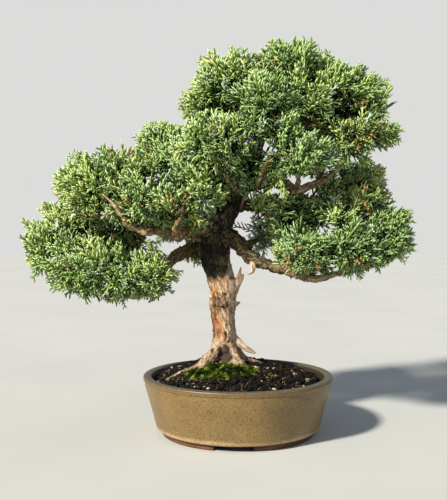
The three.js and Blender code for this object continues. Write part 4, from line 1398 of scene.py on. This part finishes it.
def fluted(kind, turn, share):
    """How far out the wood stands: muscle-like ridges that run along it with a slow twist."""
    if kind != "trunk":
        return 1 + 0.08 * math.cos(3 * turn + 9 * share)
    depth = 0.13 * (1 - share) + 0.03
    broad, narrow = math.cos(3 * turn + 5 * share), math.cos(5 * turn - 4 * share + 1)
    return 1 + depth * broad + 0.5 * depth * narrow


# How many times longer than wide the marks on each kind of wood are.
LAY = {"trunk": 7, "root": 7, "stub": 7, "collar": 4, "limb": 3}
# dark is painted shade under the crown; hollow is stain with painted shade; a low ridge marks the
# furrows, which the finish darkens as painted shade.
MASKS = ("ridge", "bark", "pale", "hollow", "dark")


def grow_wood(parts, voxel, depth):
    """Join swept parts in one skin, and give it its grain, its relief and the masks of its marks.

    Each part is its stations, the sides of its rings and its kind of wood."""
    bm = bmesh.new()
    samples = []
    for stations, sides, kind in parts:
        frames = frames_along(path_through(stations, 3))
        part = bmesh.new()
        run, last = 0.0, frames[0][0].translation
        for i, ((place, radius), ring) in enumerate(zip(frames, sweep(part, frames, sides))):
            centre, back = place.translation, place.inverted()
            run += (centre - last).length
            last = centre
            for vert in ring:
                local = back @ vert.co
                flute = fluted(kind, math.atan2(-local.y, local.x), i / (len(frames) - 1))
                vert.co = place @ Vector((local.x * flute, local.y * flute, local.z))
            samples.append((centre.copy(), back, radius, run, kind))
        bmesh.ops.recalc_face_normals(part, faces=part.faces)
        merge(bm, part)
    bm = one_skin(bm, voxel)
    finder = kdtree.KDTree(len(samples))
    for i, sample in enumerate(samples):
        finder.insert(sample[0], i)
    finder.balance()
    grain = bm.verts.layers.float_vector.new("grain")
    marks = {name: bm.verts.layers.float.new(name) for name in MASKS}
    bm.normal_update()
    for vert in bm.verts:
        best = min(
            (distance - samples[i][2], i) for _, i, distance in finder.find_n(vert.co, 6)
        )[1]
        _, back, radius, run, kind = samples[best]
        local = back @ vert.co
        along = run + local.z
        turn = math.atan2(local.y, local.x) + (0.012 if kind == "trunk" else 0.02) * along
        girth = max(radius, 2.2)
        stretched = Vector((girth * math.cos(turn), girth * math.sin(turn), along / LAY[kind]))
        move, values = wood_marks(vert.co, kind, stretched, radius, depth)
        vert[grain] = stretched
        for name, value in zip(MASKS, values):
            vert[marks[name]] = value
        vert.co += vert.normal * move
    return bm


def ridges(stretched, scale, seed):
    """Sharp ridges along the grain: 1 on a crest."""
    return 1 - 2 * abs(noise.noise(stretched * scale + Vector((seed, 0, seed))))


def wood_marks(spot, kind, stretched, radius, depth):
    """How far the wood's surface moves at a spot, and its masks there."""
    x, y, z = spot
    bark, pale, hollow = 1.0, 0.0, 0.0
    if kind == "trunk":
        # The peeled part ends along a slanting border in front, and level behind.
        border = 161.5 + 0.4 * max(x + 27, 0) + 4 * max(x + 13.5, 0) if y < 4 else 172
        bark = ease(border - 4, border + 5, z + 5 * noise.noise(stretched * 0.3))
        pale = ease(-16, -4, x + 5 * noise.noise(stretched * 0.25)) * (1 - bark)
        pale = max(pale * 0.8, ease(96, 78, z) * 0.75)
    elif kind == "limb":
        # Farther out the limbs are half peeled and paler: their own cinnamon wood, brightened also
        # as painted light where they stand in the sun.
        bark = 1 - 0.5 * ease(34, 74, abs(x + 8) + 6 * noise.noise(spot * 0.08))
    elif kind == "root":
        bark, pale = 0.12, 0.85
    elif kind == "stub":
        bark, pale = 0.0, 1.0
    coarse = ridges(stretched, 0.32, 3.7)
    fine = ridges(stretched, 0.85, 9.1)
    patchy = noise.noise(spot * 0.22)
    rough = depth * min(radius / 6, 1.15)
    move = bark * rough * (0.75 * coarse + 0.35 * fine + 0.5 * patchy - 0.25)
    if kind in ("limb", "collar"):
        knobs = noise.noise(spot * 0.13) + 0.7 * noise.noise(spot * 0.34)
        move += rough * (1.3 * knobs + 0.5 * ease(0.1, 0.2, noise.noise(spot * 0.6)))
    smooth = 0.7 if kind != "stub" else 0.2
    move += (1 - bark) * smooth * (0.9 * coarse + 0.35 * fine - 0.3)
    peel = noise.noise(Vector((stretched.x * 0.5, stretched.y * 0.5, stretched.z * 1.6 + 7)))
    move += (1 - bark) * smooth * (ease(0.02, 0.1, peel) - 0.4)
    move += (1 - bark) * 0.5 * noise.noise(stretched * 0.16)
    # The hollow mask darkens the hollows, the knot's grooves and the scar: stain with painted
    # shade.
    if kind in ("trunk", "root"):
        for (hx, hy, hz), wide, tall, deep in HOLLOWS:
            away = Vector(((x - hx) / wide, (y - hy) / (wide + 3), (z - hz) / tall)).length
            if away < 1.25:
                sunk = ease(1.25, 0.35, away + 0.12 * fine)
                move -= deep * sunk
                hollow = max(hollow, sunk)
        # Darker still in the deepest hollow between the roots, with no more relief: painted shade.
        if y < -6:
            cave = math.hypot((x + 14.5) / 6.4, (z - 82) / 9)
            hollow = max(hollow, 0.85 * ease(1.2, 0.8, cave + 0.8 * patchy))
        knot = math.hypot(x - KNOT[0], z - KNOT[2]) / 9
        if knot < 1 and y < -6:
            swell = ease(1, 0.55, knot)
            move += swell * (0.9 + 0.55 * math.sin(knot * 17 + 2 * noise.noise(spot * 0.4)))
            hollow = max(hollow, 0.55 * swell * ease(0.2, -0.7, math.sin(knot * 17)))
        if kind == "trunk" and y < 0:
            scar = math.hypot((x - KNOT[0] - 1) / 9.5, (z - KNOT[2]) / 11)
            blotch = 0.55 + 1.5 * noise.noise(spot * 0.34) + 0.7 * noise.noise(spot * 0.8)
            hollow = max(hollow, min(blotch, 0.72) * ease(1.15, 0.75, scar + 0.5 * patchy))
            move -= 0.7 * max(blotch - 0.3, 0) * ease(1.15, 0.8, scar)
    ridge = min(max(0.5 + 0.35 * coarse + 0.2 * fine, 0), 1)
    # The dark mask is painted shade: the upper trunk, and the limbs near it, darkened where the
    # crown would shade them.
    if kind == "trunk":
        dark = ease(148, 168, z) * ease(300, 240, z) * (0.42 + 0.58 * bark)
    else:
        dark = 0.55 * bark * ease(-46, -24, x) * ease(56, 32, x) * ease(300, 240, z)
    return move, (ridge, bark, pale, hollow, dark)


class BONSAI_OT_trunk(Operator):
    """Grow the trunk with its surface roots and dead stubs"""

    bl_idname = "bonsai.trunk"
    bl_label = "Trunk and roots"

    def execute(self, context):
        sizes = context.scene.bonsai_wood
        parts = [(TRUNK, 40, "trunk")]
        for stations in ROOTS:
            laid = [[x, y, soil_height(x, y) + lift, radius] for x, y, lift, radius in stations]
            parts.append((laid, 14, "root"))
        parts += [(stations, 10, "stub") for stations in STUBS]
        for name in ("rightLow", "leftLow", "leftMid", "rightMid", "backLow", "backLeft"):
            first, second, third = (Vector(station) for station in LIMBS[name][:3])
            parts.append(([list(first), list(second), list(second.lerp(third, 0.6))], 16, "collar"))
        bm = grow_wood(parts, mm(sizes.trunk_detail), mm(sizes.bark_depth))
        piece("trunk_and_roots", bm, juniper_wood(), "juniper_wood", "trunk")
        return {"FINISHED"}


class BONSAI_OT_limbs(Operator):
    """Grow the limbs and the twigs that carry the clumps"""

    bl_idname = "bonsai.limbs"
    bl_label = "Limbs"

    def execute(self, context):
        sizes = context.scene.bonsai_wood
        parts = [(stations, 12, "limb") for stations in LIMBS.values()]
        parts += [(limb_twig(name), 8, "limb") for name, clump in CLUMPS.items() if len(clump) > 2]
        parts += [(stations, 8, "limb") for stations in BARE_TWIGS]
        parts.append((TORN_TWIG, 8, "stub"))
        bm = grow_wood(parts, mm(sizes.limb_detail), mm(sizes.bark_depth))
        piece("limbs", bm, juniper_wood(), "juniper_wood", "trunk")
        return {"FINISHED"}


# ---------------------------------------------------------------- foliage

class Crown:
    """The leafy volume of the tree: every clump swells where it meets its neighbours."""

    SOFTNESS = 1.5

    def __init__(self):
        self.shapes = {
            name: (Vector(clump[0]), Vector(clump[1])) for name, clump in CLUMPS.items()
        }
        self.near = {
            name: [
                other for other, (centre, reach) in self.shapes.items()
                if (centre - self.shapes[name][0]).length < 2.4 * max(*reach, *self.shapes[name][1])
            ]
            for name in CLUMPS
        }
        self.bare = {
            name: [
                (Vector(middle), Vector(reach)) for middle, reach in CLEARINGS
                if (Vector(middle) - self.shapes[name][0]).length < 1.5 * max(reach) + 60
            ]
            for name in CLUMPS
        }

    @staticmethod
    def inside(clearing, spot):
        """How far out a spot lies in a clearing, squared: under 1 it is inside."""
        middle, reach = clearing
        return sum(((spot[i] - middle[i]) / reach[i]) ** 2 for i in range(3))

    def depth(self, name, spot):
        """How far out a spot lies in a clump, squared: 0 in its middle and 1 at its reach."""
        centre, reach = self.shapes[name]
        away = spot - centre
        down = reach.z * (0.86 if away.z < 0 else 1)
        return (away.x / reach.x) ** 2 + (away.y / reach.y) ** 2 + (away.z / down) ** 2

    def fullness(self, name, spot):
        """1 on the leafy surface, more inside it and less outside."""
        leafy = sum(
            math.exp(-self.SOFTNESS * (self.depth(other, spot) - 1)) for other in self.near[name]
        )
        for clearing in self.bare[name]:
            leafy -= 1.3 * math.exp(-self.SOFTNESS * (self.inside(clearing, spot) - 1))
        return leafy * (1.0 + 0.5 * noise.noise(spot * 0.04) + 0.34 * noise.noise(spot * 0.1))

    def owner(self, name, spot):
        """The clump that a spot lies deepest in."""
        return min(self.near[name], key=lambda other: self.depth(other, spot))

    def surface(self, name, way):
        """Where the leafy surface lies from a clump's middle, and the way out of it there."""
        centre, reach = self.shapes[name]
        low, high = 0.3 * min(reach), 2.0 * max(reach)
        if self.fullness(name, centre + way * high) > 1:
            return None, None
        for _ in range(14):
            half = (low + high) / 2
            if self.fullness(name, centre + way * half) > 1:
                low = half
            else:
                high = half
        spot = centre + way * low
        if self.owner(name, spot) != name:
            return None, None
        here = self.fullness(name, spot)
        steps = ((1, 0, 0), (0, 1, 0), (0, 0, 1))
        out = Vector([here - self.fullness(name, spot + Vector(step)) for step in steps])
        return spot, out.normalized()


def spray_template(seed, length, width):
    """A bent main shoot with blunt side shoots to both sides of it, two of them forked."""
    chance = random.Random(seed)
    bm = bmesh.new()
    places = {}
    half = width / 2
    up = Vector((0, 0, 1))

    def shoot(points, thick, low, high):
        path = list(zip(points, (*thick, thick[-1])))
        frames = frames_along(path, (0.3, 1, 0.1))[:-1]
        rings = sweep(bm, frames, 3, tip=(points[-1] - points[-2]).length)
        run = [0.0]
        for a, b in zip(points, points[1:]):
            run.append(run[-1] + (b - a).length)
        for ring, gone in zip(rings, run):
            for k, vert in enumerate(ring):
                around = k / len(ring) if len(ring) > 1 else None
                places[vert] = (low + (high - low) * gone / run[-1], around)

    bend = Vector((chance.uniform(0.08, 0.26), chance.uniform(-0.12, 0.12), 0)) * length

    def along(share):
        return bend * share * share + up * share * length

    shoot([along(0), along(0.5), along(0.88), along(1)], (half * 0.75, half * 0.9, half), 0, 1)
    for k in range(SIDE_SHOOTS):
        share = 0.12 + 0.72 * k / (SIDE_SHOOTS - 1) + chance.uniform(-0.03, 0.03)
        turn = math.pi * (k % 2) + chance.uniform(-0.6, 0.6)
        out = Vector((math.cos(turn), math.sin(turn), 0))
        reach = length * (0.42 - 0.2 * share) * chance.uniform(0.75, 1.25)
        start = along(share)
        way = (out * chance.uniform(0.6, 0.9) + up).normalized()
        bulk = start + way * reach * 0.72
        end = bulk + (way + up * 0.5).normalized() * reach * 0.28
        low, high = 0.25 * share, chance.choice((0.7, 1, 1, 1))
        shoot([start, bulk, end], (half * 0.75, half * 0.95), low, high)
        if k in (0, 2):
            side = Vector((-out.y, out.x, 0)) * chance.choice((-1, 1))
            bud = start.lerp(bulk, chance.uniform(0.4, 0.6))
            way = (way + side * chance.uniform(0.6, 1)).normalized()
            shoot(
                [bud, bud + way * reach * 0.34, bud + (way + up * 0.2).normalized() * reach * 0.5],
                (half * 0.7, half * 0.9), low + 0.3, high,
            )
    bmesh.ops.recalc_face_normals(bm, faces=bm.faces)
    lay_map(bm, places, 0)
    return mesh_of(bm, f"spray_{seed}")


class BONSAI_OT_foliage(Operator):
    """Dress every clump in scale-leaved sprays, and carry them on fine twigs"""

    bl_idname = "bonsai.foliage"
    bl_label = "Foliage"

    def execute(self, context):
        sizes = context.scene.bonsai_foliage
        length, width = mm(sizes.spray_length), mm(sizes.shoot_width)
        self.templates = {
            (shape, tone): in_tone(spray, tone)
            for shape, spray in enumerate(
                spray_template(seed, length, width) for seed in SPRAY_SEEDS
            )
            for tone in range(TONES)
        }
        self.twigs = bmesh.new()
        self.crown = Crown()
        for index, name in enumerate(CLUMPS):
            bm = self.clump(name, index, sizes)
            node = f"foliage_{name}"
            nodes = [node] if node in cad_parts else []
            piece(f"{name}_foliage", bm, juniper_leaf(), "juniper_foliage", *nodes)
        piece("fine_twigs", self.twigs, twig_bark(), "juniper_wood")
        return {"FINISHED"}

    def clump(self, name, index, sizes):
        """The sprays of one clump: its tufts, a heart of sprays behind them in dark tones that
        paint its shade, and its long shoots.
        """
        chance = random.Random(500 + index)
        centre, reach = self.crown.shapes[name]
        length = mm(sizes.spray_length)
        size = ((reach.x + reach.y + reach.z) / 3 / 33) ** 2
        brighter, share = PAINTED_CLUMP_LIGHT.get(name, (0, 1))
        tufts = round(max(14, sizes.tufts * size) * share)
        # The clump's painted light: a random shift in tone, darker for the clumps at the back as
        # painted shade, and the listed brightness.
        painted_light = 0.9 * noise.noise(Vector((index * 1.7, 0.3, 5))) + (-0.8 if centre.y > 30 else 0.3)
        painted_light += brighter
        growth = (centre - Vector((10, 5, min(max(centre.z - 25, 175), 250)))).normalized()
        bm = bmesh.new()
        for k in range(tufts):
            height = 1 - 2 * (k + 0.5) / tufts
            turn = k * GOLDEN_TURN + index
            flat = math.sqrt(1 - height * height)
            way = Vector((flat * math.cos(turn), flat * math.sin(turn), height))
            way = (way + 0.2 * in_cube(chance)).normalized()
            edge, out = self.crown.surface(name, way)
            if edge is None:
                continue
            under = out.z < -0.45
            swell = 1 + 0.2 * noise.noise(way * 1.9 + Vector((0, index, 0)))
            edge = centre + (edge - centre) * chance.uniform(0.84, 1.06) * swell
            upper = ease(-0.6, 0.1, out.z)
            lie = Vector((out.x, 0.6 * out.y, 0.8 * max(out.z, -0.35) + 0.4 * upper)).normalized()
            lie = lie + growth * (0.3 + 0.3 * upper) + 0.22 * in_cloud(chance)
            lie.normalize()
            inward = (0.6 * out + 0.4 * way).lerp(0.8 * lie + 0.2 * out, 0.9 * upper)
            root = edge - inward * length * chance.uniform(0.8, 1.05)
            if (root - centre).dot(way) < 0:
                root = centre + way * 3
            self.twig(centre, root, chance)
            leader = not under and chance.random() < 0.2
            if leader:
                root += lie * length * 0.35
            # Tone of a tuft: the clump's painted light, random shifts, and a lighter tone where the
            # tuft faces up, painted light on the tops.
            tuft_tone = 4.1 + painted_light + 1.6 * noise.noise(way * 1.6 + Vector((index, 0, 0)))
            tuft_tone += chance.uniform(-0.7, 0.7) + 1.6 * out.z
            for _ in range(sizes.sprays * 2 // 3 if under else sizes.sprays):
                aim = (lie + in_cloud(chance) * (0.2 if leader else 0.46)).normalized()
                scale = chance.uniform(0.6, 1.15) * (1.2 if leader else 1)
                start = root + 6.5 * in_cube(chance)
                self.spray(bm, name, start, aim, scale, tuft_tone, chance, under)
        # Sprays deep inside in the darkest tones: painted shade in the heart of the clump.
        for _ in range(round(sizes.heart_sprays * share * size)):
            way = in_cloud(chance).normalized()
            start = centre + way * reach * chance.uniform(0.25, 0.6)
            aim = (way + Vector((0, 0, 0.2))).normalized()
            self.spray(bm, name, start, aim, 1.0, 0.5, chance)
        for foot, way in LEADERS:
            foot, way = Vector(foot), Vector(way).normalized()
            if self.crown.owner(name, foot) != name or self.crown.depth(name, foot) > 2.5:
                continue
            for k in range(5):
                aim = (way + 0.22 * in_cloud(chance)).normalized()
                start = foot - way * (4 * k) + 2 * in_cube(chance)
                self.spray(bm, name, start, aim, 0.62 + 0.08 * k, 6, chance, free=True)
        return bm

    def spray(self, bm, name, start, aim, scale, tone, chance, under=False, free=False):
        """Add a spray, drawn back until it ends among the leaves; a free one stays in its place."""
        length = mm(bpy.context.scene.bonsai_foliage.spray_length) * scale
        if not free:
            least = chance.uniform(0.38, 0.72)
            for _ in range(12):
                if self.crown.fullness(name, start + aim * length) > least:
                    break
                start = start - aim * 1.2
            near_end = start + aim * length * 0.8
            if any(self.crown.inside(gap, near_end) < 0.8 for gap in self.crown.bare[name]):
                return
        tone = min(max(round(tone + chance.gauss(0, 1.2)), 0), DRY - 1)
        if chance.random() < (0.15 if under else 0.014):
            tone = DRY
        elif chance.random() < BLUISH_SHARE.get(name, 0.03):
            tone = BLUISH
        place = (
            Matrix.Translation(start) @ aim.to_track_quat("Z", "Y").to_matrix().to_4x4()
            @ Matrix.Rotation(chance.uniform(0, FULL_TURN), 4, "Z") @ Matrix.Scale(scale, 4)
        )
        repeat(bm, self.templates[chance.randrange(len(SPRAY_SEEDS)), tone], place)

    def twig(self, heart, end, chance):
        """A fine twig from the clump's heart to a tuft."""
        middle = heart.lerp(end, 0.5) + Vector((0, 0, -1.5))
        part = bmesh.new()
        frames = frames_along([(heart.lerp(end, 0.1), 1.1), (middle, 0.9), (end, 0.6)])
        rings = sweep(part, frames, 4, tip=1.5)
        bmesh.ops.recalc_face_normals(part, faces=part.faces)
        lay_map(part, swept_places(rings), chance.randrange(8))
        merge(self.twigs, part)


# ---------------------------------------------------------------- stage

class BONSAI_OT_stage(Operator):
    """Set the pale floor, the soft lights and the camera"""

    bl_idname = "bonsai.stage"
    bl_label = "Stage"

    def execute(self, context):
        scene = context.scene
        sizes = scene.bonsai_stage
        bm = bmesh.new()
        bmesh.ops.create_circle(bm, cap_ends=True, segments=96, radius=sizes.floor_radius)
        mesh = mesh_of(bm, "floor")
        mesh.materials.append(pale_floor())
        floor = bpy.data.objects.new("floor", mesh)
        scene.collection.objects.link(floor)

        self.light("key", (-1.15, -1.12, 1.08), sizes.key_strength, 6, (1.0, 0.95, 0.86))
        self.light("fill", (1.3, -0.6, 0.9), sizes.fill_strength, 60, (0.84, 0.91, 1.0))

        world = bpy.data.worlds.new("studio")
        world.use_nodes = True
        w = Wiring(world.node_tree)
        seen = w.node("ShaderNodeLightPath").outputs["Is Camera Ray"]
        colour = w.mix(seen, (140, 148, 162), (220, 220, 219))
        w.fill(world.node_tree.nodes["Background"].inputs, {"Color": colour, "Strength": 1.0})
        scene.world = world

        camera = bpy.data.objects.new("camera", bpy.data.cameras.new("camera"))
        for setting, value in (
            ("sensor_fit", "VERTICAL"), ("sensor_height", 36), ("lens", VIEW_LENS),
            ("clip_start", 0.01), ("clip_end", 40),
        ):
            setattr(camera.data, setting, value)
        camera.location = POT_AXIS + Vector(VIEW_FROM)
        camera.rotation_euler = (math.radians(90) - VIEW_DOWN, 0, 0)
        scene.collection.objects.link(camera)
        scene.camera = camera
        scene.view_settings.view_transform = "Standard"
        return {"FINISHED"}

    @staticmethod
    def light(name, spot, strength, softness, colour):
        data = bpy.data.lights.new(name, "SUN")
        data.energy = strength
        data.angle = math.radians(softness)
        data.color = colour
        lamp = bpy.data.objects.new(name, data)
        lamp.location = spot
        lamp.rotation_euler = (-Vector(spot)).to_track_quat("-Z", "Y").to_euler()
        bpy.context.scene.collection.objects.link(lamp)


# ---------------------------------------------------------------- panel and registration

class BONSAI_PT_sidebar(Panel):
    """The pieces of the bonsai and their settings"""

    bl_label = "Juniper Bonsai"
    bl_idname = "BONSAI_PT_sidebar"
    bl_space_type = "VIEW_3D"
    bl_region_type = "UI"
    bl_category = "Bonsai"

    def draw(self, context):
        for name, (group, operators) in GROUPS.items():
            box = self.layout.box()
            settings = getattr(context.scene, name)
            for key in group.__annotations__:
                box.prop(settings, key)
            for operator in operators:
                box.operator(operator.bl_idname)


GROUPS = {
    "bonsai_pot": (BonsaiPotSettings, [BONSAI_OT_pot, BONSAI_OT_drain_screen]),
    "bonsai_soil": (BonsaiSoilSettings, [BONSAI_OT_soil, BONSAI_OT_grit]),
    "bonsai_moss": (BonsaiMossSettings, [BONSAI_OT_moss]),
    "bonsai_wood": (BonsaiWoodSettings, [BONSAI_OT_trunk, BONSAI_OT_limbs]),
    "bonsai_foliage": (BonsaiFoliageSettings, [BONSAI_OT_foliage]),
    "bonsai_stage": (BonsaiStageSettings, [BONSAI_OT_stage]),
}


def register():
    for name, (group, operators) in GROUPS.items():
        bpy.utils.register_class(group)
        setattr(bpy.types.Scene, name, PointerProperty(type=group))
        for operator in operators:
            bpy.utils.register_class(operator)
    bpy.utils.register_class(BONSAI_PT_sidebar)


def unregister():
    bpy.utils.unregister_class(BONSAI_PT_sidebar)
    for name, (group, operators) in reversed(GROUPS.items()):
        for operator in operators:
            bpy.utils.unregister_class(operator)
        delattr(bpy.types.Scene, name)
        bpy.utils.unregister_class(group)


def main():
    register()
    bpy.ops.bonsai.stage()
    bpy.ops.bonsai.pot()
    bpy.ops.bonsai.drain_screen()
    bpy.ops.bonsai.soil()
    bpy.ops.bonsai.grit()
    bpy.ops.bonsai.moss()
    bpy.ops.bonsai.trunk()
    bpy.ops.bonsai.limbs()
    bpy.ops.bonsai.foliage()


if __name__ == "__main__":
    main()
